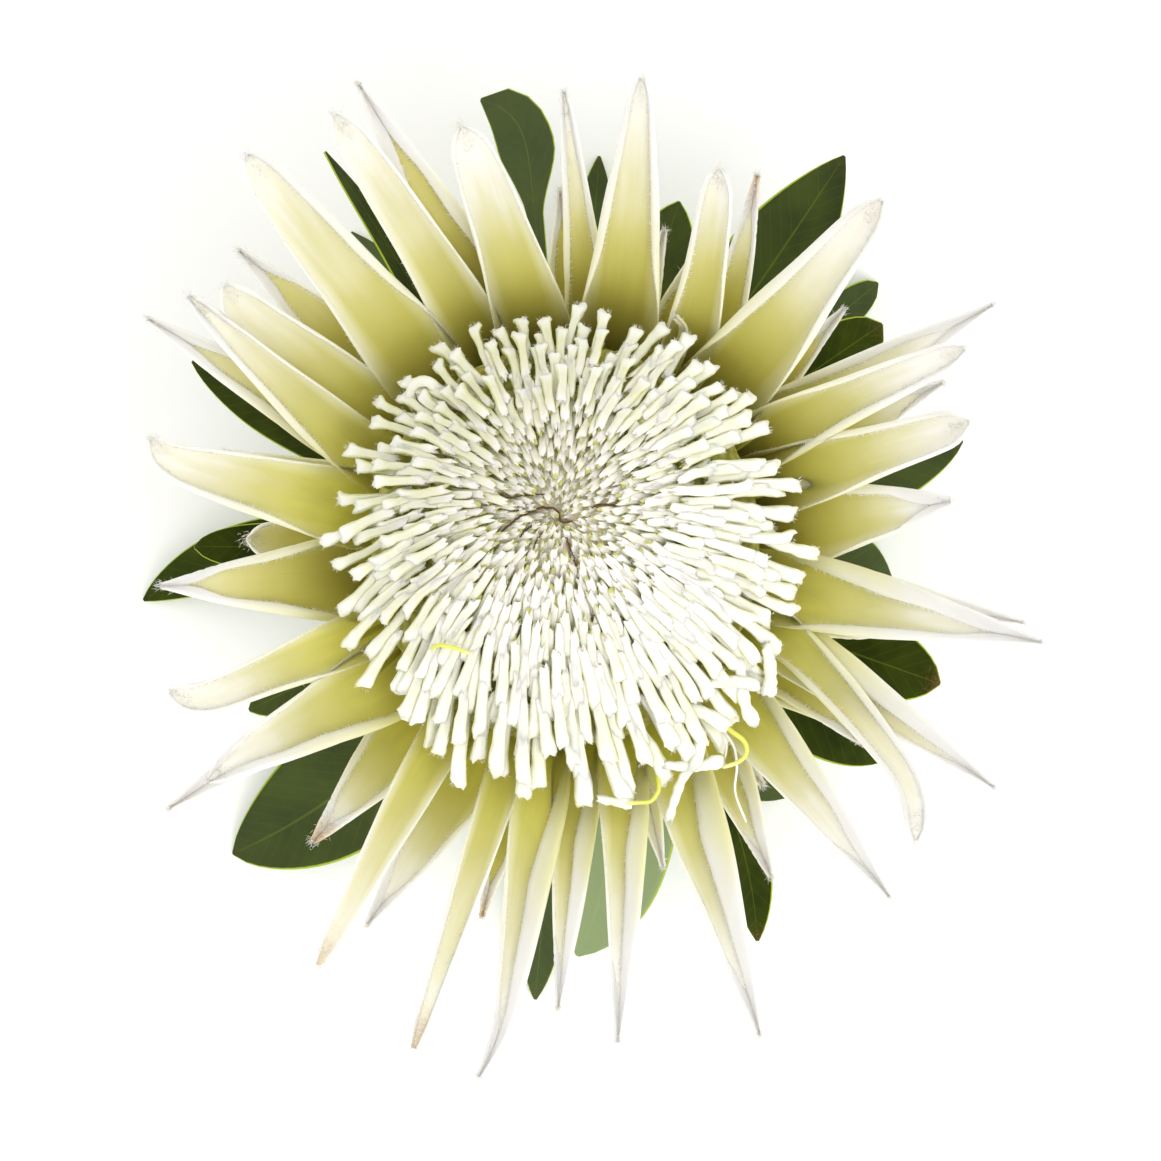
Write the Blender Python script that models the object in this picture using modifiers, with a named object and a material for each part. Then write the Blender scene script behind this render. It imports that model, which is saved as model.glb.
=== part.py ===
"""Cut king protea flower head, face up on its short stem and on the tips of its lowest leaves.

Metres, +Z up along the flower's axis. The origin lies on the surface below, in the middle of the flower's
outline seen from above. Azimuths are degrees from +X towards +Y, round the flower's axis.
"""

import math
import random

import bmesh
import bpy
from mathutils import Matrix, Vector

MM = 0.001

# The flower's axis, from the middle of the outline
AXIS_PLACE = Vector((-1.95, 3.4, 0.0)) * MM

# Clearance where one piece sits on another
SEAT_GAP = 0.3 * MM
ROUND_STEPS = 24
MERGE_DISTANCE = 0.05 * MM
CURVE_STEPS = 16
SHARP_ANGLE = math.radians(50.0)
UP = Vector((0.0, 0.0, 1.0))

# Stem, a stub cut off square
STEM_RADIUS = 7.0 * MM
STEM_NECK_RADIUS = 9.0 * MM
STEM_HEIGHT = 28.0 * MM
STEM_EDGE = 0.6 * MM
NECK_LENGTH = 6.0 * MM

# Receptacle, a woody cup with a round post that carries the rings of bracts
POST_RADIUS = 20.0 * MM
POST_TOP = 52.0 * MM
CUP_RADIUS = 33.0 * MM
CUP_TOP = 36.0 * MM
CUP_WALL = 3.0 * MM
CUP_HIP_RADIUS = 18.0 * MM
CUP_HIP_RISE = 1.8 * MM

# Scale bracts on the cup: pieces in the row, foot and tip as radius and height, and width
SCALE_ROWS = (
    (7, (14.0, 30.2), (23.0, 31.0), (31.0, 33.4), 16.0),
    (8, (21.0, 31.6), (30.5, 33.6), (38.0, 39.0), 17.0),
    (9, (28.0, 31.0), (37.0, 36.4), (43.5, 45.5), 18.0),
)
# Share of the width at a scale's foot, middle and tip, and how far its edges lift there
SCALE_FORM = (0.55, 1.0, 0.14)
SCALE_CUPPING = (0.0, 0.25, 0.0)
SCALE_THICKNESS = 1.0 * MM

# Bracts: every ring has the height of its middle and its outer radius
RING_HEIGHT = 4.7 * MM
BRACT_RINGS = {
    "outer": (CUP_TOP + SEAT_GAP + 0.5 * RING_HEIGHT, 31.4 * MM),
    "middle": (CUP_TOP + 2.0 * SEAT_GAP + 1.5 * RING_HEIGHT, 29.2 * MM),
    "inner": (CUP_TOP + 3.0 * SEAT_GAP + 2.5 * RING_HEIGHT, 27.0 * MM),
}
RING_BEVEL = 1.0 * MM
BRACT_THICKNESS = 0.8 * MM
BRACT_ROWS = 7
BRACT_CUPPING = 0.25
# Way of a bract, as radius and height in mm: how far inside and under its ring's edge it starts, then its
# shoulder and the edge of the florets, each nearest the florets and the change to the lowest bract
BRACT_ROOT = (2.2, 0.6)
BRACT_SHOULDER = (37.5, 63.5)
SHOULDER_CHANGE = (6.0, -15.0)
BRACT_RIM = (49.0, 76.0)
RIM_CHANGE = (3.0, -21.0)
# Beyond that edge it rises by this share of its reach, and most of it over the first part
OUTER_PLACE = 0.45
OUTER_RISE = 0.24
TIP_RISE = 0.4
# Radius in mm from which it bends sideways
BEND_RADIUS = 30.0
# Share of a bract's length, from its foot, where it is widest, its width at the foot, and the least half
# width at the tip, in mm
BRACT_WIDEST = 0.45
BRACT_FOOT_WIDTH = 0.3
BRACT_TIP_HALF = 0.7

# One row for each bract: ring, depth behind the florets (0 nearest, 1 furthest down), azimuth where it
# leaves the florets, azimuth and reach of the tip in mm, greatest width in mm, fullness of the end
# (1.2 long and pointed, 2.6 blunt)
BRACTS = (
    ("inner", 0.18, 106, 114, 101, 14.0, 1.3),
    ("inner", 0.05, 111, 118, 98, 8.0, 2.4),
    ("inner", 0.08, 128, 129, 101, 16.0, 2.0),
    ("inner", 0.16, 144, 143, 86, 14.0, 2.6),
    ("inner", 0.02, 157, 146, 90, 9.0, 1.6),
    ("inner", 0.12, 168, 166, 84, 15.0, 1.8),
    ("inner", 0.10, 99, 104, 87, 13.0, 2.4),
    ("inner", 0.20, 86, 90, 92, 6.5, 1.6),
    ("inner", 0.05, 74, 81, 96, 13.0, 2.0),
    ("inner", 0.12, 60, 67, 82, 10.5, 2.4),
    ("inner", 0.00, 59, 62, 56, 5.0, 1.4),
    ("inner", 0.14, 45, 48, 93, 15.0, 2.4),
    ("inner", 0.08, 28, 27, 88, 13.0, 2.4),
    ("inner", 0.12, 16, 17, 85, 12.5, 2.4),
    ("inner", 0.20, 5, 7, 78, 13.0, 1.4),
    ("inner", 0.10, -9, -11, 97, 15.0, 1.4),
    ("inner", 0.18, -19, -28, 98, 11.5, 1.4),
    ("inner", 0.04, -23, -40, 91, 6.0, 2.0),
    ("inner", 0.12, -40, -47, 95, 12.0, 1.4),
    ("inner", 0.15, -58, -68, 104, 12.0, 1.3),
    ("inner", 0.10, -75, -84, 99, 8.5, 1.4),
    ("inner", 0.18, -86, -91, 92, 9.0, 1.3),
    ("inner", 0.12, -95, -99, 107, 10.0, 1.3),
    ("inner", 0.05, -105, -107, 104, 7.5, 2.0),
    ("inner", 0.08, -125, -121, 97, 10.5, 1.8),
    ("inner", 0.14, -143, -148, 84, 15.0, 1.7),
    ("inner", 0.08, -160, -160, 83, 9.5, 2.6),
    ("inner", 0.20, -172, -175, 82, 17.0, 1.3),
    ("middle", 0.52, 135, 138, 89, 12.0, 1.5),
    ("middle", 0.50, 153, 151, 96, 12.0, 1.5),
    ("middle", 0.50, 54, 62, 85, 8.5, 1.4),
    ("middle", 0.58, 36, 41, 74, 9.0, 1.5),
    ("middle", 0.48, 33, 30, 99, 10.0, 1.4),
    ("middle", 0.58, 22, 24, 88, 11.0, 1.5),
    ("middle", 0.50, -5, -8, 94, 10.0, 1.4),
    ("middle", 0.50, -49, -58, 79, 11.5, 1.4),
    ("middle", 0.50, -112, -118, 86, 11.0, 1.4),
    ("middle", 0.56, -131, -131, 78, 14.0, 1.5),
    ("middle", 0.48, -147, -147, 95, 12.0, 1.4),
    ("middle", 0.54, 116, 117, 72, 12.0, 1.6),
    ("middle", 0.54, 97, 100, 70, 12.0, 1.6),
    ("middle", 0.54, 76, 79, 72, 12.0, 1.6),
    ("middle", 0.56, -27, -33, 74, 10.0, 1.6),
    ("middle", 0.54, -72, -80, 72, 9.0, 1.6),
    ("middle", 0.54, -92, -96, 74, 9.0, 1.6),
    ("middle", 0.54, -172, -173, 70, 13.0, 1.6),
    ("outer", 0.85, 166, 164, 73, 13.0, 1.5),
    ("outer", 0.88, 89, 91, 74, 10.0, 1.5),
    ("outer", 0.86, 73, 73, 69, 10.0, 1.5),
    ("outer", 0.84, 66, 67, 65, 9.0, 1.5),
    ("outer", 0.85, -14, -15, 69, 12.0, 1.5),
    ("outer", 0.88, -30, -31, 74, 13.0, 1.5),
    ("outer", 0.85, -70, -73, 68, 8.0, 1.4),
    ("outer", 0.85, -102, -103, 77, 10.0, 1.4),
    ("outer", 0.85, -152, -154, 63, 10.0, 1.5),
    ("outer", 0.85, 109, 109, 62, 11.0, 1.5),
    ("outer", 0.85, 129, 129, 62, 12.0, 1.5),
    ("outer", 0.85, 147, 147, 62, 12.0, 1.5),
    ("outer", 0.85, 47, 47, 64, 12.0, 1.5),
    ("outer", 0.85, 26, 26, 64, 12.0, 1.5),
    ("outer", 0.85, 6, 6, 62, 12.0, 1.5),
    ("outer", 0.85, -50, -50, 63, 12.0, 1.5),
    ("outer", 0.85, -87, -87, 63, 9.0, 1.5),
    ("outer", 0.85, -128, -128, 62, 12.0, 1.5),
    ("outer", 0.85, -174, -174, 60, 13.0, 1.5),
)

# Floret head: a core that fills the room between the floret tubes, and the limbs on it
FLORET_COUNT = 240
GOLDEN_ANGLE = math.pi * (3.0 - math.sqrt(5.0))
FLORET_CROWDING = 0.8
TIP_REACH = 39.5 * MM
APEX_HEIGHT = 110.0 * MM
DOME_DROP = 22.0 * MM
CORE_PROFILE = (
    (0.0, 106.5), (11.0, 105.0), (21.0, 101.0), (30.0, 95.5), (37.0, 90.0), (42.5, 86.0), (45.5, 82.0),
    (44.5, 77.0), (37.0, 68.0), (19.0, 52.3),
)
# Limbs, at the top of the dome and the change to its rim: rise in degrees, length and width in mm
LIMB_RISE = 80.0
RISE_CHANGE = -50.0
LIMB_LENGTH = 8.0
LENGTH_CHANGE = 3.0
LIMB_WIDTH = 2.2
WIDTH_CHANGE = 1.5
# Width of a limb's tip and its thickness, as shares of the width of its knee
LIMB_TIP = 0.44
LIMB_FLATNESS = 0.8
# Greatest random change of a limb's rise and swing in degrees, and of its length in mm
RISE_SPREAD = 4.0
SWING_SPREAD = 7.0
LENGTH_SPREAD = 0.6
# The dome leans: its top stands off the axis, and its rim a little
DOME_LEAN = Vector((-0.6, 8.4, 0.0)) * MM
RIM_SHIFT = Vector((0.5, -1.5, 0.0)) * MM
RIM_RADIUS = 49.0 * MM
LEAN_FOOT = 56.0 * MM
LEAN_TOP = 88.0 * MM

# Leaves: azimuth, reach of the tip, greatest width, layer and twist in degrees
LEAVES = (
    (-173.5, 92.0, 30.0, 0, 0),
    (-154.0, 78.0, 22.0, 1, 10),
    (-137.5, 98.0, 42.0, 0, 6),
    (-115.0, 74.0, 22.0, 1, 0),
    (-94.5, 97.0, 36.0, 0, -8),
    (-63.5, 94.0, 28.0, 1, 12),
    (-48.0, 72.0, 24.0, 0, 0),
    (-32.0, 84.0, 34.0, 1, 5),
    (-19.0, 86.0, 36.0, 2, -6),
    (-2.0, 74.0, 26.0, 0, 0),
    (15.5, 88.0, 26.0, 1, -10),
    (33.0, 85.0, 22.0, 2, 12),
    (37.5, 88.0, 26.0, 0, 0),
    (55.5, 104.0, 34.0, 1, 8),
    (72.5, 79.0, 20.0, 2, 0),
    (85.0, 87.0, 20.0, 0, 10),
    (98.0, 100.0, 25.0, 1, -25),
    (121.0, 101.0, 18.0, 2, 40),
    (125.0, 85.0, 15.0, 0, 0),
    (153.0, 90.0, 18.0, 1, -30),
    (179.0, 81.0, 24.0, 2, 8),
)
# Height of a leaf's spine for each layer: at the stem, at three radii on the way, and at the tip
LEAF_LAYERS = (
    (7.0, 11.5, 12.5, 9.0, 0.55),
    (13.0, 18.5, 22.0, 25.0, 25.0),
    (19.0, 23.0, 28.0, 35.0, 41.0),
)
LEAF_WAYPOINTS = (18.0, 38.0, 60.0)
LEAF_THICKNESS = 1.0 * MM
LEAF_ROWS = 8
LEAF_CUPPING = 0.12
# A leaf clears the stem by this, in mm
LEAF_GAP = 0.35
# Share of a leaf's length where its stalk ends and where it is widest, and half widths in mm
STALK_END = 0.1
LEAF_WIDEST = 0.62
STALK_HALF = 1.8
LEAF_TIP_HALF = 0.8


def clear_scene():
    for thing in list(bpy.data.objects):
        bpy.data.objects.remove(thing)


def new_collection(name):
    collection = bpy.data.collections.new(name)
    bpy.context.scene.collection.children.link(collection)
    return collection


def linear(channel):
    """An sRGB channel from 0 to 255, as a linear one."""
    value = channel / 255.0
    return value / 12.92 if value <= 0.04045 else ((value + 0.055) / 1.055) ** 2.4


def principled(name, colour, roughness):
    material = bpy.data.materials.new(name)
    material.use_nodes = True
    shader = material.node_tree.nodes["Principled BSDF"]
    channels = [linear(int(colour[place:place + 2], 16)) for place in (0, 2, 4)]
    shader.inputs["Base Color"].default_value = (*channels, 1.0)
    shader.inputs["Roughness"].default_value = roughness
    shader.inputs["Metallic"].default_value = 0.0
    return material


def new_object(name, bm, collection, material=None):
    """A mesh object on the flower's axis, shaded smooth but for its sharp edges."""
    mesh = bpy.data.meshes.new(name)
    bm.to_mesh(mesh)
    bm.free()
    mesh.shade_smooth()
    mesh.set_sharp_from_angle(angle=SHARP_ANGLE)
    piece = bpy.data.objects.new(name, mesh)
    if material:
        mesh.materials.append(material)
    collection.objects.link(piece)
    return piece


def turned(name, profile, collection, material, closed=False):
    """A solid of revolution round the axis. The profile runs down its outer side."""
    bm = bmesh.new()
    points = [bm.verts.new((radius, 0.0, height)) for radius, height in profile]
    for first, second in zip(points, points[1:]):
        bm.edges.new((first, second))
    if closed:
        bm.edges.new((points[-1], points[0]))
    piece = new_object(name, bm, collection, material)
    screw = piece.modifiers.new("Turn", "SCREW")
    screw.steps = ROUND_STEPS
    screw.render_steps = ROUND_STEPS
    screw.use_merge_vertices = True
    screw.merge_threshold = MERGE_DISTANCE
    screw.use_smooth_shade = True
    return piece


def standing(radius, height, azimuth):
    """A place round the axis, from its radius and height in mm and its azimuth in radians."""
    return Vector((math.cos(azimuth) * radius, math.sin(azimuth) * radius, height)) * MM


def curve_through(points, count):
    """Radii and heights spread evenly along a Catmull-Rom curve through the points, ends included."""
    points = [Vector(point) for point in points]
    padded = [2.0 * points[0] - points[1], *points, 2.0 * points[-1] - points[-2]]
    dense = []
    for before, start, end, after in zip(padded, padded[1:], padded[2:], padded[3:]):
        for step in range(CURVE_STEPS):
            t = step / CURVE_STEPS
            dense.append(
                0.5 * (
                    2.0 * start
                    + (end - before) * t
                    + (2.0 * before - 5.0 * start + 4.0 * end - after) * t * t
                    + (3.0 * start - before - 3.0 * end + after) * t ** 3
                )
            )
    dense.append(points[-1])
    lengths = [0.0]
    for first, second in zip(dense, dense[1:]):
        lengths.append(lengths[-1] + (second - first).length)
    places = []
    index = 0
    for step in range(count):
        wanted = lengths[-1] * step / (count - 1)
        while index < len(dense) - 2 and lengths[index + 1] < wanted:
            index += 1
        span = lengths[index + 1] - lengths[index]
        places.append(dense[index].lerp(dense[index + 1], (wanted - lengths[index]) / span))
    return places


def blade(name, spine, half_widths, cupping, twist, across, thickness, collection, material=None):
    """A thin blade along a spine of points.

    The cupping lifts both edges, as a share of the half width, and the twist, in degrees, grows to the tip.
    """
    rows = len(spine)
    bm = bmesh.new()
    bmesh.ops.create_grid(bm, x_segments=across, y_segments=rows - 1, size=0.5)
    for vert in bm.verts:
        row = round((vert.co.y + 0.5) * (rows - 1))
        side_share = 2.0 * vert.co.x
        tangent = (spine[min(row + 1, rows - 1)] - spine[max(row - 1, 0)]).normalized()
        side = UP.cross(tangent).normalized()
        turn = Matrix.Rotation(math.radians(twist) * row / (rows - 1), 3, tangent)
        side = turn @ side
        lift = tangent.cross(side)
        half = half_widths[row]
        vert.co = spine[row] + side * (half * side_share) + lift * (half * cupping[row] * side_share ** 2)
    bmesh.ops.triangulate(bm, faces=bm.faces)
    piece = new_object(name, bm, collection, material)
    solid = piece.modifiers.new("Thickness", "SOLIDIFY")
    solid.thickness = thickness
    solid.offset = 0.0
    return piece


def keep_outer_shell(mesh):
    """Drops every island of faces but the largest: sealed pockets between crossing blades, and scraps."""
    bm = bmesh.new()
    bm.from_mesh(mesh)
    left = set(bm.verts)
    islands = []
    while left:
        edge_of_island = [left.pop()]
        island = set(edge_of_island)
        while edge_of_island:
            vert = edge_of_island.pop()
            for edge in vert.link_edges:
                other = edge.other_vert(vert)
                if other not in island:
                    island.add(other)
                    left.discard(other)
                    edge_of_island.append(other)
        islands.append(island)
    islands.sort(key=len, reverse=True)
    spare = [vert for island in islands[1:] for vert in island]
    bmesh.ops.delete(bm, geom=spare, context="VERTS")
    bm.to_mesh(mesh)
    bm.free()


def fuse(piece, repeats):
    """Joins the objects of a collection to the piece as one body, and removes them."""
    union = piece.modifiers.new("Union", "BOOLEAN")
    union.operation = "UNION"
    union.operand_type = "COLLECTION"
    union.collection = repeats
    union.solver = "EXACT"
    bpy.context.view_layer.update()
    graph = bpy.context.evaluated_depsgraph_get()
    joined = bpy.data.meshes.new_from_object(piece.evaluated_get(graph))
    joined.name = piece.name
    keep_outer_shell(joined)
    piece.modifiers.clear()
    piece.data = joined
    joined.shade_smooth()
    joined.set_sharp_from_angle(angle=SHARP_ANGLE)
    for repeat in list(repeats.objects):
        bpy.data.objects.remove(repeat)
    bpy.data.collections.remove(repeats)


def stem(collection):
    material = principled("stem_bark", "6f7a45", 0.75)
    profile = (
        (0.0, STEM_HEIGHT),
        (STEM_NECK_RADIUS, STEM_HEIGHT),
        (STEM_NECK_RADIUS - STEM_EDGE, STEM_HEIGHT - 0.3 * NECK_LENGTH),
        (STEM_RADIUS, STEM_HEIGHT - NECK_LENGTH),
        (STEM_RADIUS, STEM_EDGE),
        (STEM_RADIUS - STEM_EDGE, 0.0),
        (0.0, 0.0),
    )
    return turned("stem", profile, collection, material)


def receptacle(collection):
    """The cup below the bracts, with its post, and the scale bracts that grow on it."""
    material = principled("scale_bract_olive", "8c9150", 0.7)
    foot = STEM_HEIGHT + SEAT_GAP
    profile = (
        (0.0, POST_TOP),
        (POST_RADIUS, POST_TOP),
        (POST_RADIUS, CUP_TOP),
        (CUP_RADIUS, CUP_TOP),
        (CUP_RADIUS - CUP_WALL, CUP_TOP - CUP_WALL),
        (CUP_HIP_RADIUS, foot + CUP_HIP_RISE),
        (STEM_NECK_RADIUS, foot),
        (0.0, foot),
    )
    cup = turned("receptacle", profile, collection, material)
    scales = new_collection("scale_bracts")
    for row, (count, start, middle, end, width) in enumerate(SCALE_ROWS):
        halves = [0.5 * width * MM * share for share in SCALE_FORM]
        for index in range(count):
            azimuth = 2.0 * math.pi * (index + 0.5 * row) / count
            spine = [standing(radius, height, azimuth) for radius, height in (start, middle, end)]
            blade("scale", spine, halves, SCALE_CUPPING, 0.0, 2, SCALE_THICKNESS, scales)
    fuse(cup, scales)
    return cup


def bract_spine(ring, depth, foot, tip, reach, count):
    """Places along a bract, from inside its ring to its tip."""
    ring_height, ring_radius = BRACT_RINGS[ring]
    start = Vector((ring_radius / MM - BRACT_ROOT[0], ring_height / MM - BRACT_ROOT[1]))
    shoulder = Vector(BRACT_SHOULDER) + depth * Vector(SHOULDER_CHANGE)
    rim = Vector(BRACT_RIM) + depth * Vector(RIM_CHANGE)
    span = reach - rim.x
    outer = rim + span * Vector((OUTER_PLACE, OUTER_RISE))
    end = rim + span * Vector((1.0, TIP_RISE))
    spine = []
    for radius, height in curve_through((start, shoulder, rim, outer, end), count):
        share = min(max((radius - BEND_RADIUS) / (reach - BEND_RADIUS), 0.0), 1.0)
        spine.append(standing(radius, height, math.radians(foot + (tip - foot) * share * share)))
    return spine


def bract_halves(width, fullness, count):
    """Half widths from the foot to the tip."""
    halves = []
    for row in range(count):
        share = row / (count - 1)
        if share < BRACT_WIDEST:
            swell = math.sin(0.5 * math.pi * share / BRACT_WIDEST) ** 1.5
            form = BRACT_FOOT_WIDTH + (1.0 - BRACT_FOOT_WIDTH) * swell
        else:
            form = 1.0 - ((share - BRACT_WIDEST) / (1.0 - BRACT_WIDEST)) ** fullness
        halves.append(max(0.5 * width * form, BRACT_TIP_HALF) * MM)
    return halves


def bract_ring(ring, collection, material):
    """One ring of bracts, grown together at the foot."""
    height, radius = BRACT_RINGS[ring]
    inner = POST_RADIUS + SEAT_GAP
    low = height - 0.5 * RING_HEIGHT
    high = height + 0.5 * RING_HEIGHT
    profile = ((inner, high), (radius - RING_BEVEL, high), (radius, low), (inner, low))
    piece = turned("bracts_" + ring, profile, collection, material, closed=True)
    blades = new_collection("blades_" + ring)
    cupping = [BRACT_CUPPING] * BRACT_ROWS
    for where, depth, foot, tip, reach, width, fullness in BRACTS:
        if where == ring:
            spine = bract_spine(ring, depth, foot, tip, reach, BRACT_ROWS)
            halves = bract_halves(width, fullness, BRACT_ROWS)
            blade("bract", spine, halves, cupping, 0.0, 2, BRACT_THICKNESS, blades)
    fuse(piece, blades)
    return piece


def leaned(point):
    """A place in the floret head, moved as the leaning dome moves it."""
    radius = math.hypot(point.x, point.y)
    rise = min(max((point.z - LEAN_FOOT) / (LEAN_TOP - LEAN_FOOT), 0.0), 1.0)
    share = max(1.0 - (radius / RIM_RADIUS) ** 2, 0.0)
    return point + (RIM_SHIFT + (DOME_LEAN - RIM_SHIFT) * share) * rise


def limb(azimuth, share, draw, collection):
    """One floret's limb, from its blunt knee to its tip. The share is 0 at the top of the dome, 1 at its rim."""
    rise = math.radians(LIMB_RISE + RISE_CHANGE * share ** 1.2 + draw.uniform(-RISE_SPREAD, RISE_SPREAD))
    swing = math.radians(draw.uniform(-SWING_SPREAD, SWING_SPREAD)) * share
    length = (LIMB_LENGTH + LENGTH_CHANGE * share + draw.uniform(-LENGTH_SPREAD, LENGTH_SPREAD)) * MM
    width = (LIMB_WIDTH + WIDTH_CHANGE * share) * MM
    outward = Vector((math.cos(azimuth), math.sin(azimuth), 0.0))
    tip = outward * (TIP_REACH * share) + UP * (APEX_HEIGHT - DOME_DROP * share ** 2)
    way = Matrix.Rotation(swing, 3, "Z") @ outward
    knee = leaned(tip + way * (length * math.cos(rise)) - UP * (length * math.sin(rise)))
    tip = leaned(tip)
    axis = (tip - knee).normalized()
    side = UP.cross(axis).normalized()
    corner = math.sqrt(0.5) * width
    bm = bmesh.new()
    bmesh.ops.create_cone(
        bm, cap_ends=True, segments=4, radius1=corner, radius2=LIMB_TIP * corner,
        depth=(tip - knee).length, matrix=Matrix.Rotation(math.radians(45.0), 4, "Z"),
    )
    bm.transform(Matrix.Scale(LIMB_FLATNESS, 4, (0.0, 1.0, 0.0)))
    frame = Matrix((side, axis.cross(side), axis)).transposed().to_4x4()
    bm.transform(Matrix.Translation(0.5 * (tip + knee)) @ frame)
    new_object("limb", bm, collection)


def floret_head(collection):
    """The dome of florets: a core, and the limbs, whose blunt knees look out and whose tips look to the top."""
    material = principled("floret_velvet", "f1ede6", 0.9)
    profile = [(radius * MM, height * MM) for radius, height in CORE_PROFILE]
    head = turned("floret_head", [*profile, (0.0, profile[-1][1])], collection, material)
    graph = bpy.context.evaluated_depsgraph_get()
    solid = bpy.data.meshes.new_from_object(head.evaluated_get(graph))
    for vert in solid.vertices:
        vert.co = leaned(vert.co)
    head.modifiers.clear()
    head.data = solid
    limbs = new_collection("limbs")
    draw = random.Random(7)
    for index in range(FLORET_COUNT):
        share = ((index + 0.5) / FLORET_COUNT) ** FLORET_CROWDING
        limb(index * GOLDEN_ANGLE, share, draw, limbs)
    fuse(head, limbs)
    return head


def leaf_halves(width):
    """Half widths from the stalk to the tip."""
    halves = []
    for row in range(LEAF_ROWS):
        share = row / (LEAF_ROWS - 1)
        if share < LEAF_WIDEST:
            spread = max(share - STALK_END, 0.0) / (LEAF_WIDEST - STALK_END)
            form = math.sin(0.5 * math.pi * spread) ** 1.4
            least = STALK_HALF
        else:
            form = 1.0 - ((share - LEAF_WIDEST) / (1.0 - LEAF_WIDEST)) ** 2.0
            least = LEAF_TIP_HALF
        halves.append(max(0.5 * width * form, least) * MM)
    return halves


def leaf(number, azimuth, reach, width, layer, twist, collection, material):
    """A stiff leaf with a narrow stalk, seated on the stem."""
    radii = (STEM_RADIUS / MM + LEAF_GAP, *LEAF_WAYPOINTS, reach)
    way = curve_through(list(zip(radii, LEAF_LAYERS[layer])), LEAF_ROWS)
    spine = [standing(radius, height, math.radians(azimuth)) for radius, height in way]
    cupping = [LEAF_CUPPING] * LEAF_ROWS
    name = f"leaf_{number:02d}"
    return blade(
        name, spine, leaf_halves(width), cupping, twist, 2, LEAF_THICKNESS, collection, material
    )


def build():
    clear_scene()
    flower = new_collection("protea_flower")
    axis = bpy.data.objects.new("flower_axis", None)
    axis.location = AXIS_PLACE
    flower.objects.link(axis)
    bract_material = principled("bract_green_white", "d9d69c", 0.6)
    leaf_material = principled("leaf_leather", "3f5c26", 0.45)
    pieces = [stem(flower), receptacle(flower)]
    for ring in BRACT_RINGS:
        pieces.append(bract_ring(ring, flower, bract_material))
    pieces.append(floret_head(flower))
    for number, (azimuth, reach, width, layer, twist) in enumerate(LEAVES, start=1):
        pieces.append(leaf(number, azimuth, reach, width, layer, twist, flower, leaf_material))
    for piece in pieces:
        piece.parent = axis


build()
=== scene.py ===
"""The looks of a cut king protea flower head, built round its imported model.

Lengths are in millimetres and angles in degrees, unless a line says otherwise. The flower stands face up: the
azimuth of a bract, leaf or floret runs from +X towards +Y round the flower's own axis.
"""

import math
import random

import bpy
import numpy as np
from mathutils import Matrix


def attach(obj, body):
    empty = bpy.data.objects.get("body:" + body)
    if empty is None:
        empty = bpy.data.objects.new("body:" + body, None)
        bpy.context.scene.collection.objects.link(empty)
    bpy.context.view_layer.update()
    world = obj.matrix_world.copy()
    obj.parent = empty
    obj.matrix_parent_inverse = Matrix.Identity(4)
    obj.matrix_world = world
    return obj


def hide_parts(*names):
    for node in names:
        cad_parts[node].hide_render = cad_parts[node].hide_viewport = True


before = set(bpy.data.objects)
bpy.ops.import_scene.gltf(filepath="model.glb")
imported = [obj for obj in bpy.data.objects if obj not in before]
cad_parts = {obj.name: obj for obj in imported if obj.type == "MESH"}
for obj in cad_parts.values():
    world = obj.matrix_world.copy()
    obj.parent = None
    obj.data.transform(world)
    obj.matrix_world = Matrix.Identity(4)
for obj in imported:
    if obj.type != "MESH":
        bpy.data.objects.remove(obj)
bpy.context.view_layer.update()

# The stem
# A stub of the flowering shoot, thick and woody, with green bark that reddens in streaks and corky pores. It was
# cut off square below the leaves, and swells under each leaf stalk and where the flower head sits on it.
MM = 0.001
# Where the flower's own axis stands in the shared frame
AXIS = np.array((-1.95, 3.4, 0.0))
STEM_RADIUS = 7.0
STEM_NECK_RADIUS = 9.0
STEM_HEIGHT = 28.0
NECK_LENGTH = 6.0
STEM_SIDES = 72
STEM_RINGS = 60
CUT_FACE_RISE = 0.25
CUT_ROUNDING = 0.5
CUT_ROUNDED_LENGTH = 0.8
# Waves of the bark: depth, number round the stem, and turn in radians for each mm of height
BARK_WAVES = ((0.12, 3.0, 0.2), (0.07, 7.0, -0.35))
LEAF_SWELLING = 0.7
# How far a swelling spreads round the stem and along it
SWELLING_SPREAD = (2.4, 1.9)
BARK_GREEN = "6b7740"
BARK_RED = "8a5a44"
BARK_PORE = "b9a77c"
WOOD_PALE = "d9c89a"
WOOD_PITH = "a98f5e"

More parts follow.
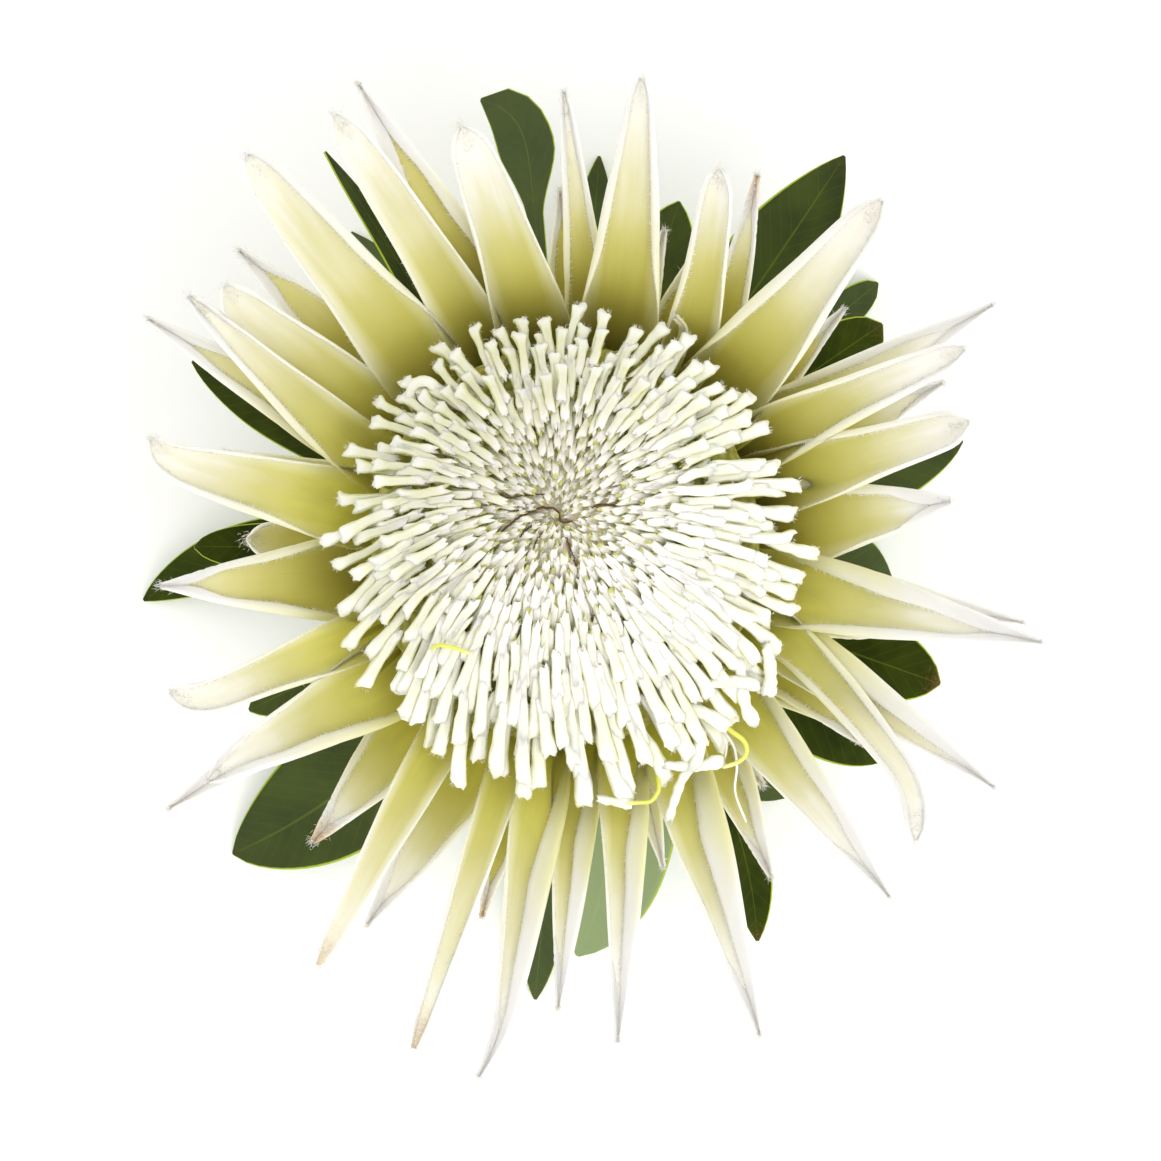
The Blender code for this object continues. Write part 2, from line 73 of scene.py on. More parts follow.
# Leaves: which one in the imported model, azimuth at the stem, azimuth gained on the way to the tip, reach of the
# tip, greatest width, layer, twist, bluntness of the end, paleness, brown at the tip, and how far a narrow waist
# pushes the width and the bend out to the end
LEAVES = (
    (1, 173.6, 12.8, 93.3, 14.0, 0, 0, 0.2, 0.0, 0.1, 0.0),
    (2, -153.5, 0.0, 76.0, 15.0, 1, 10, 0.3, 0.1, 0.0, 0.0),
    (3, -129.0, -9.0, 98.5, 27.0, 0, 6, 0.2, 0.1, 0.1, 0.0),
    (4, -115.0, 0.0, 66.0, 18.0, 1, 0, 0.3, 0.5, 0.0, 0.0),
    (5, -93.6, -0.5, 98.0, 11.5, 0, -8, 0.3, 0.15, 0.2, 0.0),
    (5, -74.5, -14.0, 86.5, 28.5, 1, -8, 0.1, 1.0, 0.1, 0.0),
    (6, -52.0, -11.9, 92.7, 13.0, 1, 12, 0.2, 0.0, 0.6, 0.0),
    (7, -48.3, 0.0, 71.7, 20.0, 0, 0, 0.2, 0.1, 0.0, 0.0),
    (8, -31.2, 0.0, 83.0, 22.5, 1, 5, 0.4, 0.0, 0.2, 0.0),
    (9, -19.5, 0.0, 83.5, 20.0, 2, -6, 0.5, 0.0, 1.0, 0.0),
    (10, -4.2, 0.0, 71.0, 20.0, 0, 0, 0.3, 0.1, 0.0, 0.0),
    (11, 15.7, 0.0, 88.0, 20.5, 1, -10, 0.2, 0.1, 0.6, 0.0),
    (12, 36.8, -1.0, 82.0, 13.5, 2, 8, 1.0, 0.0, 0.4, 0.0),
    (13, 42.0, -1.0, 90.0, 10.0, 0, 28, 1.0, 0.1, 0.0, 0.0),
    (14, 54.0, 1.0, 103.5, 22.0, 1, 8, 0.0, 0.05, 0.1, 0.0),
    (15, 72.2, 0.0, 77.5, 18.0, 2, 0, 0.3, 0.1, 0.0, 0.0),
    (16, 85.4, 0.0, 87.0, 10.0, 0, 10, 0.2, 0.1, 0.3, 0.0),
    (17, 95.4, 5.4, 98.6, 12.5, 1, -10, 0.8, 0.2, 0.05, 1.65),
    (18, 119.6, 1.6, 98.5, 8.0, 2, 66, 0.3, 0.0, 0.1, 0.0),
    (19, 119.0, 5.0, 84.5, 9.0, 0, 10, 0.1, 0.2, 0.0, 0.0),
    (20, 153.0, 0.0, 90.0, 16.0, 1, -30, 0.2, 0.0, 0.1, 0.0),
    (21, 178.7, 0.6, 78.5, 10.0, 2, 8, 0.8, 0.0, 0.1, 0.0),
)
# Height of a leaf's spine for each layer: at the stem, at three radii on the way, and at the tip
LEAF_LAYERS = (
    (7.0, 11.5, 12.5, 9.0, 0.55),
    (13.0, 18.5, 22.0, 25.0, 25.0),
    (19.0, 23.0, 28.0, 35.0, 41.0),
)


def linear(colour):
    """An sRGB hex colour as linear red, green, blue and an alpha of 1."""
    channels = [int(colour[place:place + 2], 16) / 255.0 for place in (0, 2, 4)]
    return (*[c / 12.92 if c <= 0.04045 else ((c + 0.055) / 1.055) ** 2.4 for c in channels], 1.0)


def add_node(tree, kind, settings, output=0):
    """Adds a shader node with its properties, its inputs' values and the links to them, and gives one output."""
    made = tree.nodes.new("ShaderNode" + kind)
    for key, value in settings.items():
        if key == "ramp":
            elements = made.color_ramp.elements
            elements[0].position = value[0][0]
            elements[1].position = value[-1][0]
            for place, _ in value[1:-1]:
                elements.new(place)
            for element, (_, colour) in zip(elements, value):
                element.color = linear(colour)
        elif isinstance(value, bpy.types.NodeSocket):
            tree.links.new(value, made.inputs[key])
        elif isinstance(key, int) or key in made.inputs:
            made.inputs[key].default_value = linear(value) if isinstance(value, str) else value
        else:
            setattr(made, key, value)
    return made.outputs[output]


def new_material(name, **values):
    """A material of one Principled shader, its values set on its own sockets, and its node tree."""
    material = bpy.data.materials.new(name)
    material.use_nodes = True
    tree = material.node_tree
    shader = tree.nodes["Principled BSDF"]
    for socket, value in values.items():
        shader.inputs[socket.replace("_", " ")].default_value = value
    return material, tree, shader


def clamped(share):
    """A share held between 0 and 1."""
    return np.clip(share, 0.0, 1.0)


def smooth(share):
    """Eases a share from 0 to 1."""
    share = clamped(share)
    return share * share * (3.0 - 2.0 * share)


def all_round(count, offset=0.0):
    """Angles evenly all round, in radians."""
    return 2.0 * np.pi * (np.arange(count) + offset) / count


def ring_faces(rings, sides):
    """Quads between closed rings of points, facing out where the rings climb anticlockwise."""
    ring, side = np.meshgrid(np.arange(rings - 1), np.arange(sides), indexing="ij")
    first = (ring * sides + side).ravel()
    second = (ring * sides + (side + 1) % sides).ravel()
    return np.stack((first, second, second + sides, first + sides), axis=1)


def capped_faces(rings, sides):
    """Faces of closed rings and of the fans that shut both ends round two more points, the middles of the ends."""
    steps = np.arange(sides)
    onwards = (steps + 1) % sides
    last = (rings - 1) * sides
    middle = np.full(sides, rings * sides)
    return [
        ring_faces(rings, sides),
        np.stack((onwards, steps, middle), axis=1),
        np.stack((last + steps, last + onwards, middle + 1), axis=1),
    ]


def make_piece(name, points, faces, material, marks=None):
    """A mesh object from points round the flower's axis and groups of faces, with marks stored for its material."""
    mesh = bpy.data.meshes.new(name)
    mesh.from_pydata(((points + AXIS) * MM).tolist(), [], [face for group in faces for face in group.tolist()])
    for mark, values in (marks or {}).items():
        kind = "FLOAT" if values.ndim == 1 else "FLOAT_VECTOR"
        field = "value" if values.ndim == 1 else "vector"
        layer = mesh.attributes.new(mark, kind, "POINT")
        layer.data.foreach_set(field, values.astype(np.float32).ravel())
    mesh.shade_smooth()
    mesh.materials.append(material)
    piece = bpy.data.objects.new(name, mesh)
    bpy.context.scene.collection.objects.link(piece)
    return piece


# Bark: satin to dull, streaked along the shoot, with raised pale pores about 0.5 mm wide
bark, tree, shader = new_material("protea_bark", Roughness=0.62, Specular_IOR_Level=0.35)
place = add_node(tree, "TexCoord", {}, "Object")
stretch = add_node(tree, "Mapping", {"Scale": (1.0, 1.0, 0.18), "Vector": place})
streaks = add_node(tree, "TexNoise", {"Scale": 420.0, "Detail": 4.0, "Vector": stretch})
pores = add_node(tree, "TexVoronoi", {"Scale": 620.0, "Vector": place})
pore = add_node(tree, "MapRange", {"From Min": 0.12, "From Max": 0.22, "To Min": 1.0, "To Max": 0.0, "Value": pores})
colour = add_node(tree, "ValToRGB", {"ramp": ((0.35, BARK_GREEN), (0.62, BARK_RED)), "Fac": streaks})
mixed = add_node(tree, "Mix", {"data_type": "RGBA", 0: pore, 6: colour, 7: BARK_PORE}, 2)
relief = add_node(tree, "Bump", {"Strength": 0.5, "Distance": 0.0003, "Height": streaks})
tree.links.new(mixed, shader.inputs["Base Color"])
tree.links.new(relief, shader.inputs["Normal"])

angles = all_round(STEM_SIDES)
heights = np.linspace(CUT_FACE_RISE, STEM_HEIGHT, STEM_RINGS)
around, height = np.meshgrid(angles, heights)
radius = STEM_RADIUS + (STEM_NECK_RADIUS - STEM_RADIUS) * smooth(1.0 - (STEM_HEIGHT - height) / NECK_LENGTH)
for depth, lobes, turn_per_mm in BARK_WAVES:
    radius += depth * np.sin(lobes * around + turn_per_mm * height)
radius -= CUT_ROUNDING * smooth(1.0 - (height - CUT_FACE_RISE) / CUT_ROUNDED_LENGTH)
for leaf_row in LEAVES:
    turned = np.radians(leaf_row[1]) - around
    sideways = STEM_RADIUS * np.arctan2(np.sin(turned), np.cos(turned))
    below = height - LEAF_LAYERS[leaf_row[5]][0]
    radius += LEAF_SWELLING * np.exp(-(sideways / SWELLING_SPREAD[0]) ** 2 - (below / SWELLING_SPREAD[1]) ** 2)
wall = np.stack((radius * np.cos(around), radius * np.sin(around), height), axis=-1).reshape(-1, 3)
ends = np.array(((0.0, 0.0, CUT_FACE_RISE), (0.0, 0.0, STEM_HEIGHT)))
stem = make_piece("flower_stem", np.vstack((wall, ends)), capped_faces(STEM_RINGS, STEM_SIDES), bark)
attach(stem, "root")
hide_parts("stem")

# The cut through the stem
# Fresh sapwood, pale and moist, round a darker pith, as the knife left it: faint rings and rays, and a face that
# is not quite flat.
CUT_RADIUS = 6.3
CUT_RINGS = 14
BACK_RINGS = 4
CUT_HEIGHT = 0.02
CUT_BACK_HEIGHT = 2.0 * CUT_FACE_RISE
CUT_WAVE = 0.05
# Where the rings end round the middle of the disc, as a share of its radius
PITH_SHARE = 0.06

sapwood, tree, shader = new_material("cut_sapwood", Roughness=0.5, Specular_IOR_Level=0.4)
place = add_node(tree, "TexCoord", {}, "Object")
from_pith = add_node(tree, "Attribute", {"attribute_name": "from_pith"}, "Fac")
grain = add_node(tree, "TexNoise", {"Scale": 900.0, "Detail": 3.0, "Vector": place})
blurred = add_node(tree, "Math", {"operation": "MULTIPLY_ADD", 0: grain, 1: 0.18, 2: from_pith})
colour = add_node(tree, "ValToRGB", {
    "ramp": ((0.12, WOOD_PITH), (0.3, WOOD_PALE), (0.7, "e4d8b0"), (0.88, "c3c08a"), (1.0, BARK_GREEN)), "Fac": blurred,
})
relief = add_node(tree, "Bump", {"Strength": 0.4, "Distance": 0.0002, "Height": grain})
tree.links.new(colour, shader.inputs["Base Color"])
tree.links.new(relief, shader.inputs["Normal"])

out_share = np.append(np.linspace(PITH_SHARE, 1.0, CUT_RINGS), np.linspace(1.0, PITH_SHARE, BACK_RINGS))
level = np.repeat((CUT_HEIGHT, CUT_BACK_HEIGHT), (CUT_RINGS, BACK_RINGS))
around, share = np.meshgrid(-angles, out_share)
height = np.repeat(level[:, None], STEM_SIDES, axis=1) + CUT_WAVE * (1.0 + np.sin(5.0 * around + 9.0 * share))
disc = np.stack((CUT_RADIUS * share * np.cos(around), CUT_RADIUS * share * np.sin(around), height), axis=-1)
middles = np.array(((0.0, 0.0, CUT_WAVE), (0.0, 0.0, CUT_BACK_HEIGHT)))
cut_face = make_piece(
    "stem_cut_face", np.vstack((disc.reshape(-1, 3), middles)), capped_faces(len(out_share), STEM_SIDES),
    sapwood, {"from_pith": np.append(share.ravel(), (0.0, 0.0))},
)
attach(cut_face, "root")

# The leaves
# Stiff leathery blades on short stalks, all round the stem below the flower head. Each has a dark satin upper
# face, a paler lower one with the rib standing out, a thin yellow-green horny margin, and brown at some tips.
UP = np.array((0.0, 0.0, 1.0))
# Where the stalk ends and where the blade is widest, as shares of a leaf's length, and half widths at both ends
STALK_END = 0.1
LEAF_WIDEST = 0.62
STALK_HALF = 1.8
LEAF_TIP_HALF = 0.35
LEAF_FOOT_RADIUS = STEM_RADIUS + 0.05
# The three radii on the way that the layers' heights are for
LEAF_WAYPOINTS = (18.0, 38.0, 60.0)
LEAF_ROWS = 44
LEAF_COLUMNS = 17
LEAF_THICKNESS = 0.9
# Slope of a leaf's margins in radians, how much it changes along the leaf, and the ripple of its width as a share
LEAF_CUP = 0.24
LEAF_CUP_CHANGE = 0.16
LEAF_RIPPLE = 0.035
# How deep the rib is sunk in the upper face and stands out of the lower one, and how far it spreads
RIB_DEPTHS = (0.12, 0.4)
RIB_SPREAD = 0.9
FLOOR_GAP = 0.03
LEAF_DARK = "232c08"
LEAF_MID = "39440f"
LEAF_PALE = "8a9a70"
LEAF_UNDER = "8fa063"
LEAF_LINE = "a8bc3c"
LEAF_BROWN = "7a5a3a"
# Width of the fold where a margin is bent back over its blade, as a share of the half width, how far it turns in
# radians, and the width of flap below which it turns less
FOLD_WIDTH = 0.25
FOLD_TURN = 2.75
FULL_FLAP = 0.15
# How much thinner a blade is at its margins, and how far the tone shifts its grain
MARGIN_THINNING = 0.45
GRAIN_SHIFT = 37.0
CURVE_STEPS = 24


def unit(vectors):
    """The vectors, each at length 1."""
    return vectors / np.maximum(np.linalg.norm(vectors, axis=-1, keepdims=True), 1e-9)


def crosswise(ways):
    """For each way, the level way across it, and the way across both."""
    side = unit(np.cross(UP, ways))
    return side, np.cross(ways, side)


def rolled(side, lift, angle):
    """Both ways across another, turned round it by an angle in radians."""
    return side * np.cos(angle) + lift * np.sin(angle), lift * np.cos(angle) - side * np.sin(angle)


def by_row(values, columns):
    """A value for each row of a blade, for all the points of both its faces."""
    return np.tile(np.repeat(values, columns), 2)


def standing(radius, height, azimuth):
    """Places round the axis, from radii, heights and azimuths in radians."""
    return np.stack(np.broadcast_arrays(radius * np.cos(azimuth), radius * np.sin(azimuth), height), axis=-1)


def curve_through(points, count):
    """Places spread evenly along a Catmull-Rom curve through the points, ends included."""
    points = np.array(points, float)
    padded = np.vstack((2.0 * points[0] - points[1], points, 2.0 * points[-1] - points[-2]))
    t = (np.arange(CURVE_STEPS) / CURVE_STEPS)[:, None]
    dense = [
        0.5 * (
            2.0 * start
            + (end - before) * t
            + (2.0 * before - 5.0 * start + 4.0 * end - after) * t ** 2
            + (3.0 * start - before - 3.0 * end + after) * t ** 3
        )
        for before, start, end, after in zip(padded, padded[1:], padded[2:], padded[3:])
    ]
    dense = np.vstack((*dense, points[-1:]))
    lengths = np.append(0.0, np.cumsum(np.linalg.norm(np.diff(dense, axis=0), axis=1)))
    wanted = np.linspace(0.0, lengths[-1], count)
    return np.stack([np.interp(wanted, lengths, column) for column in dense.T], axis=1)


def blade(spine, halves, cup, flaps, thickness, columns, tone, twist=0.0):
    """Points, faces and marks of a thin closed blade along a spine.

    The cup is the slope of the blade at its margins, in radians. The flaps are how much of the clockwise and of
    the other margin is folded back over the inner face, as shares of the half width, row by row. The tone is the
    blade's own, for its material.
    """
    rows = len(spine)
    tangent = unit(np.gradient(spine, axis=0))
    side, lift = rolled(*crosswise(tangent), np.radians(twist) * np.linspace(0.0, 1.0, rows)[:, None])
    across = np.linspace(-1.0, 1.0, columns)[None, :]
    flap = np.where(across < 0.0, flaps[0][:, None], flaps[1][:, None])
    fold = 1.0 / (1.0 + flap + FOLD_WIDTH)
    turned_over = smooth((np.abs(across) - fold) / (FOLD_WIDTH * fold)) * clamped(flap / FULL_FLAP)
    slope = cup[:, None] * across + np.sign(across) * FOLD_TURN * turned_over
    between = 0.5 * (slope[:, 1:] + slope[:, :-1])
    section = np.stack((np.cos(between), np.sin(between)))
    section = np.cumsum(np.concatenate((np.zeros((2, rows, 1)), section), axis=2), axis=2)
    middle = columns // 2
    section -= section[..., middle, None]
    left_most = -section[0, :, :middle].min(axis=1)[:, None]
    right_most = section[0, :, middle + 1:].max(axis=1)[:, None]
    out, rise = section / np.where(across < 0.0, left_most, right_most) * halves[:, None]
    sheet = spine[:, None, :] + side[:, None, :] * out[..., None] + lift[:, None, :] * rise[..., None]
    facing = unit(np.cross(np.gradient(sheet, axis=0), np.gradient(sheet, axis=1)))
    depth = 0.5 * thickness[:, None] * (1.0 - MARGIN_THINNING * np.abs(across) ** 3)
    inner = sheet + facing * depth[..., None]
    outer = sheet - facing * depth[..., None]
    points = np.vstack((inner.reshape(-1, 3), outer.reshape(-1, 3)))

    row, column = np.meshgrid(np.arange(rows - 1), np.arange(columns - 1), indexing="ij")
    corner = (row * columns + column).ravel()
    inner_faces = np.stack((corner, corner + columns, corner + columns + 1, corner + 1), axis=1)
    outer_faces = inner_faces[:, ::-1] + rows * columns
    rim = np.concatenate((
        np.arange(columns),
        np.arange(1, rows) * columns + columns - 1,
        (rows - 1) * columns + np.arange(columns - 2, -1, -1),
        np.arange(rows - 2, 0, -1) * columns,
    ))
    after = np.roll(rim, -1)
    rim_faces = np.stack((rim, after, after + rows * columns, rim + rows * columns), axis=1)

    lengths = np.append(0.0, np.cumsum(np.linalg.norm(np.diff(spine, axis=0), axis=1)))[:, None]
    grain = np.broadcast_arrays(across * halves[:, None] * (1.0 + flap), lengths, GRAIN_SHIFT * tone)
    marks = {
        "along": by_row(np.linspace(0.0, 1.0, rows), columns),
        "across": np.tile(across.ravel(), 2 * rows),
        "inner": np.repeat((1.0, 0.0), rows * columns),
        "tone": np.full(2 * rows * columns, tone),
        "grain": np.tile(np.stack(grain, axis=-1).reshape(-1, 3), (2, 1)),
    }
    return points, [inner_faces, outer_faces, rim_faces], marks


# Leather-like cuticle: satin wax over green, so its shine is broad. Veins stand every 3 to 4 mm, and the margin
# is a horny line half a millimetre wide
leather, tree, shader = new_material("leaf_cuticle", Roughness=0.52, Specular_IOR_Level=0.06)
along, across, inner, tone, brown = [
    add_node(tree, "Attribute", {"attribute_name": mark}, "Fac")
    for mark in ("along", "across", "inner", "tone", "brown")
]
grain = add_node(tree, "Attribute", {"attribute_name": "grain"}, "Vector")
off_rib = add_node(tree, "Math", {"operation": "ABSOLUTE", 0: across})
patches = add_node(tree, "TexNoise", {"Scale": 0.09, "Detail": 5.0, "Vector": grain})
specks = add_node(tree, "TexNoise", {"Scale": 1.6, "Detail": 3.0, "Vector": grain})
from_rib = add_node(tree, "SeparateXYZ", {"Vector": grain}, "X")
up_blade = from_rib.node.outputs["Y"]
sideways = add_node(tree, "Math", {"operation": "ABSOLUTE", 0: from_rib})
climb = add_node(tree, "Math", {"operation": "MULTIPLY_ADD", 0: sideways, 1: -1.3, 2: up_blade})
wander = add_node(tree, "Math", {"operation": "MULTIPLY_ADD", 0: patches, 1: 3.0, 2: climb})
wave = add_node(tree, "Math", {"operation": "PINGPONG", 0: wander, 1: 1.8})
vein = add_node(tree, "MapRange", {"From Min": 0.0, "From Max": 0.34, "To Min": 1.0, "To Max": 0.0, "Value": wave})
green = add_node(tree, "ValToRGB", {"ramp": ((0.3, LEAF_DARK), (0.7, LEAF_MID)), "Fac": patches})
paler = add_node(tree, "Mix", {"data_type": "RGBA", 0: tone, 6: green, 7: LEAF_PALE}, 2)
faced = add_node(tree, "Mix", {"data_type": "RGBA", 0: inner, 6: LEAF_UNDER, 7: paler}, 2)
vein_share = add_node(tree, "Math", {"operation": "MULTIPLY", 0: vein, 1: 0.05})
veined = add_node(tree, "Mix", {"data_type": "RGBA", 0: vein_share, 6: faced, 7: "7f9a48"}, 2)
rib = add_node(tree, "MapRange", {"From Min": 0.01, "From Max": 0.03, "To Min": 0.12, "To Max": 0.0, "Value": off_rib})
ribbed = add_node(tree, "Mix", {"data_type": "RGBA", 0: rib, 6: veined, 7: LEAF_LINE}, 2)
margin = add_node(tree, "MapRange", {"From Min": 0.955, "From Max": 0.98, "Value": off_rib})
lined = add_node(tree, "Mix", {"data_type": "RGBA", 0: margin, 6: ribbed, 7: LEAF_LINE}, 2)
near_tip = add_node(tree, "Math", {"operation": "MULTIPLY_ADD", 0: specks, 1: 0.14, 2: along})
tip = add_node(tree, "MapRange", {"From Min": 1.03, "From Max": 1.09, "To Max": 0.7, "Value": near_tip})
tip_share = add_node(tree, "Math", {"operation": "MULTIPLY", 0: tip, 1: brown})
tipped = add_node(tree, "Mix", {"data_type": "RGBA", 0: tip_share, 6: lined, 7: LEAF_BROWN}, 2)
relief = add_node(tree, "Bump", {"Strength": 0.08, "Distance": 0.00015, "Height": vein})
pitted = add_node(tree, "Bump", {"Strength": 0.2, "Distance": 0.0001, "Height": specks, "Normal": relief})
tree.links.new(tipped, shader.inputs["Base Color"])
tree.links.new(pitted, shader.inputs["Normal"])


def leaf_halves(width, bluntness, waist, shares):
    """Half widths from the stalk to the tip."""
    widest = LEAF_WIDEST + 0.16 * waist
    climb = clamped((shares - STALK_END) / (widest - STALK_END)) ** (1.0 + 3.0 * waist)
    closing = clamped((shares - widest) / (1.0 - widest))
    close = (1.0 - closing ** (2.0 + 2.5 * bluntness)) ** (0.8 - 0.25 * bluntness)
    halves = 0.5 * width * np.where(shares < widest, np.sin(0.5 * np.pi * climb) ** 1.4, close)
    return np.maximum(halves, np.where(shares < widest, STALK_HALF, LEAF_TIP_HALF))


draw = random.Random(11)
shares = np.linspace(0.0, 1.0, LEAF_ROWS)
thickness = LEAF_THICKNESS * (1.0 + 0.9 * (1.0 - smooth(shares / 0.25)) - 0.3 * smooth(shares))
unfolded = np.zeros((2, LEAF_ROWS))
for number, leaf_row in enumerate(LEAVES):
    node, azimuth, gain, reach, width, layer, twist, bluntness, paleness, browned, waist = leaf_row
    radii = (LEAF_FOOT_RADIUS, *LEAF_WAYPOINTS, reach)
    way = curve_through(list(zip(radii, LEAF_LAYERS[layer])), LEAF_ROWS)
    spine = standing(way[:, 0], way[:, 1], np.radians(azimuth + gain * shares ** (2.0 + 12.0 * waist)))
    halves = leaf_halves(width, bluntness, waist, shares)
    ripple = 1.0 + LEAF_RIPPLE * np.sin(2.0 * np.pi * (2.3 * shares + draw.random())) * smooth(4.0 * shares - 1.0)
    cup = LEAF_CUP + LEAF_CUP_CHANGE * np.sin(2.0 * np.pi * (1.7 * shares + draw.random()))
    points, faces, marks = blade(spine, halves * ripple, cup, unfolded, thickness, LEAF_COLUMNS, paleness, twist)
    keel = np.exp(-(marks["across"] * by_row(halves, LEAF_COLUMNS) / RIB_SPREAD) ** 2)
    points[:, 2] -= keel * np.where(marks["inner"] > 0.5, *RIB_DEPTHS) * (1.0 - 0.8 * marks["along"])
    points[:, 2] = np.maximum(points[:, 2], FLOOR_GAP)
    marks["brown"] = np.full(len(points), browned)
    leaf = make_piece(f"protea_leaf_{number + 1:02d}", points, faces, leather, marks)
    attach(leaf, "root")
    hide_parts(f"leaf_{node:02d}")

# The receptacle
# A woody cup on top of the stem, with a round post inside that every bract and floret grows from. Outside it is
# clad in short stiff scale bracts that overlap like tiles, olive with dry reddish edges and a grey bloom.
POST_RADIUS = 20.0
POST_TOP = 52.0
CUP_RADIUS = 33.0
CUP_TOP = 36.0
CUP_FOOT = 28.3
CUP_SIDES = 64
# Pieces in the row, foot, middle and tip as radius and height, and width
SCALE_ROWS = (
    (8, (11.0, 29.2), (18.0, 29.9), (25.0, 31.2), 13.0),
    (10, (15.0, 30.2), (23.5, 31.2), (31.0, 33.4), 14.0),
    (12, (20.5, 31.2), (30.0, 33.4), (37.5, 38.4), 15.0),
    (14, (25.5, 30.9), (34.6, 35.0), (41.0, 41.8), 14.5),
    (16, (29.0, 32.2), (37.6, 37.2), (43.2, 45.2), 14.0),
)
SCALE_GRID = (14, 11)
SCALE_THICKNESS = 0.9
SCALE_CUP = 0.5
# How far a scale strays: share of its room in the row, rise of its tip, and turn of its tip
SCALE_STRAYS = (0.08, 0.25, 3.0)


def gathered(parts):
    """Several sets of points, faces and marks as one."""
    points = np.vstack([part[0] for part in parts])
    starts = np.append(0, np.cumsum([len(part[0]) for part in parts])[:-1])
    faces = [group + start for part, start in zip(parts, starts) for group in part[1]]
    marks = {mark: np.concatenate([part[2][mark] for part in parts]) for mark in parts[0][2]}
    return points, faces, marks


def plain_marks(points, *others, **values):
    """Marks that are the same all over a part: the given values, nothing for the others, and its grain."""
    marks = {mark: np.full(len(points), values.get(mark, 0.0)) for mark in (*others, *values)}
    return marks | {"grain": points}


# Woody scales: dull, dry, grained along, with edges that have dried to a reddish brown
scale_wood, tree, shader = new_material("scale_bract_wood", Roughness=0.7, Specular_IOR_Level=0.3)
along = add_node(tree, "Attribute", {"attribute_name": "along"}, "Fac")
across = add_node(tree, "Attribute", {"attribute_name": "across"}, "Fac")
grain = add_node(tree, "Attribute", {"attribute_name": "grain"}, "Vector")
stretch = add_node(tree, "Mapping", {"Scale": (1.5, 0.22, 1.0), "Vector": grain})
streaks = add_node(tree, "TexNoise", {"Scale": 1.0, "Detail": 4.0, "Vector": stretch})
colour = add_node(tree, "ValToRGB", {"ramp": ((0.3, "7c8145"), (0.55, "969a5a"), (0.75, "b6b184")), "Fac": streaks})
off_rib = add_node(tree, "Math", {"operation": "ABSOLUTE", 0: across})
outermost = add_node(tree, "Math", {"operation": "MAXIMUM", 0: off_rib, 1: along})
dried = add_node(tree, "MapRange", {"From Min": 0.78, "From Max": 1.0, "To Max": 0.8, "Value": outermost})
edged = add_node(tree, "Mix", {"data_type": "RGBA", 0: dried, 6: colour, 7: "8d5f42"}, 2)
relief = add_node(tree, "Bump", {"Strength": 0.5, "Distance": 0.0003, "Height": streaks})
tree.links.new(edged, shader.inputs["Base Color"])
tree.links.new(relief, shader.inputs["Normal"])

cup_profile = curve_through((
    (0.6, POST_TOP), (12.0, POST_TOP + 0.1), (19.4, POST_TOP - 0.2), (POST_RADIUS, POST_TOP - 1.0),
    (POST_RADIUS, 44.0), (POST_RADIUS, CUP_TOP + 0.6), (POST_RADIUS + 1.0, CUP_TOP), (27.0, CUP_TOP),
    (CUP_RADIUS - 0.6, CUP_TOP - 0.1), (CUP_RADIUS, CUP_TOP - 0.7), (30.0, 33.2), (18.0, 30.1), (9.0, CUP_FOOT),
    (0.6, CUP_FOOT),
), 90)
cup_angles = all_round(CUP_SIDES)
rings = standing(cup_profile[::-1, None, 0], cup_profile[::-1, None, 1], cup_angles[None, :])
cup_points = np.vstack((rings.reshape(-1, 3), ((0.0, 0.0, CUP_FOOT), (0.0, 0.0, POST_TOP))))
parts = [(cup_points, capped_faces(len(rings), CUP_SIDES), plain_marks(cup_points, "along", "across"))]
draw = random.Random(23)
scale_rows, scale_columns = SCALE_GRID
shares = np.linspace(0.0, 1.0, scale_rows)
past_middle = np.maximum(2.0 * shares - 1.0, 0.0)
form = np.where(shares < 0.5, 0.55 + 0.45 * smooth(2.0 * shares), 1.0 - past_middle ** 2.4)
thickness = SCALE_THICKNESS * (1.0 - 0.4 * shares)
cup = np.full(scale_rows, SCALE_CUP)
unfolded = np.zeros((2, scale_rows))
stray, lift, turn = SCALE_STRAYS
for row, (count, foot, middle, tip, width) in enumerate(SCALE_ROWS):
    halves = np.maximum(0.5 * width * form, 0.5)
    for index in range(count):
        azimuth = 2.0 * math.pi * (index + 0.5 * row + draw.uniform(-stray, stray)) / count
        way = curve_through((foot, middle, tip), scale_rows)
        way[:, 1] += draw.uniform(-lift, lift) * shares
        spine = standing(way[:, 0], way[:, 1], azimuth + np.radians(draw.uniform(-turn, turn)) * shares)
        parts.append(blade(spine, halves, cup, unfolded, thickness, scale_columns, draw.random()))
points, faces, marks = gathered(parts)
receptacle = make_piece("scaly_receptacle", points, faces, scale_wood, marks)
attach(receptacle, "root")
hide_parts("receptacle")

# The bracts
# Three rings of long stiff fleshy bracts round the florets, each grown from its collar on the post. The inner
# face is smooth, olive at the florets, partly its own colour and partly painted shade of the florets, and paler
# outwards; the outer face is white with silky down. The margins of the pointed ones are folded back over the inner
# face and meet near the tip; the blunt ones end in a hood.
RING_HEIGHT = 4.7
SEAT_GAP = 0.3
# Height of the middle of each ring's collar, and its radius
BRACT_RINGS = {
    "outer": (CUP_TOP + SEAT_GAP + 0.5 * RING_HEIGHT, 31.4),
    "middle": (CUP_TOP + 2.0 * SEAT_GAP + 1.5 * RING_HEIGHT, 29.2),
    "inner": (CUP_TOP + 3.0 * SEAT_GAP + 2.5 * RING_HEIGHT, 27.0),
}
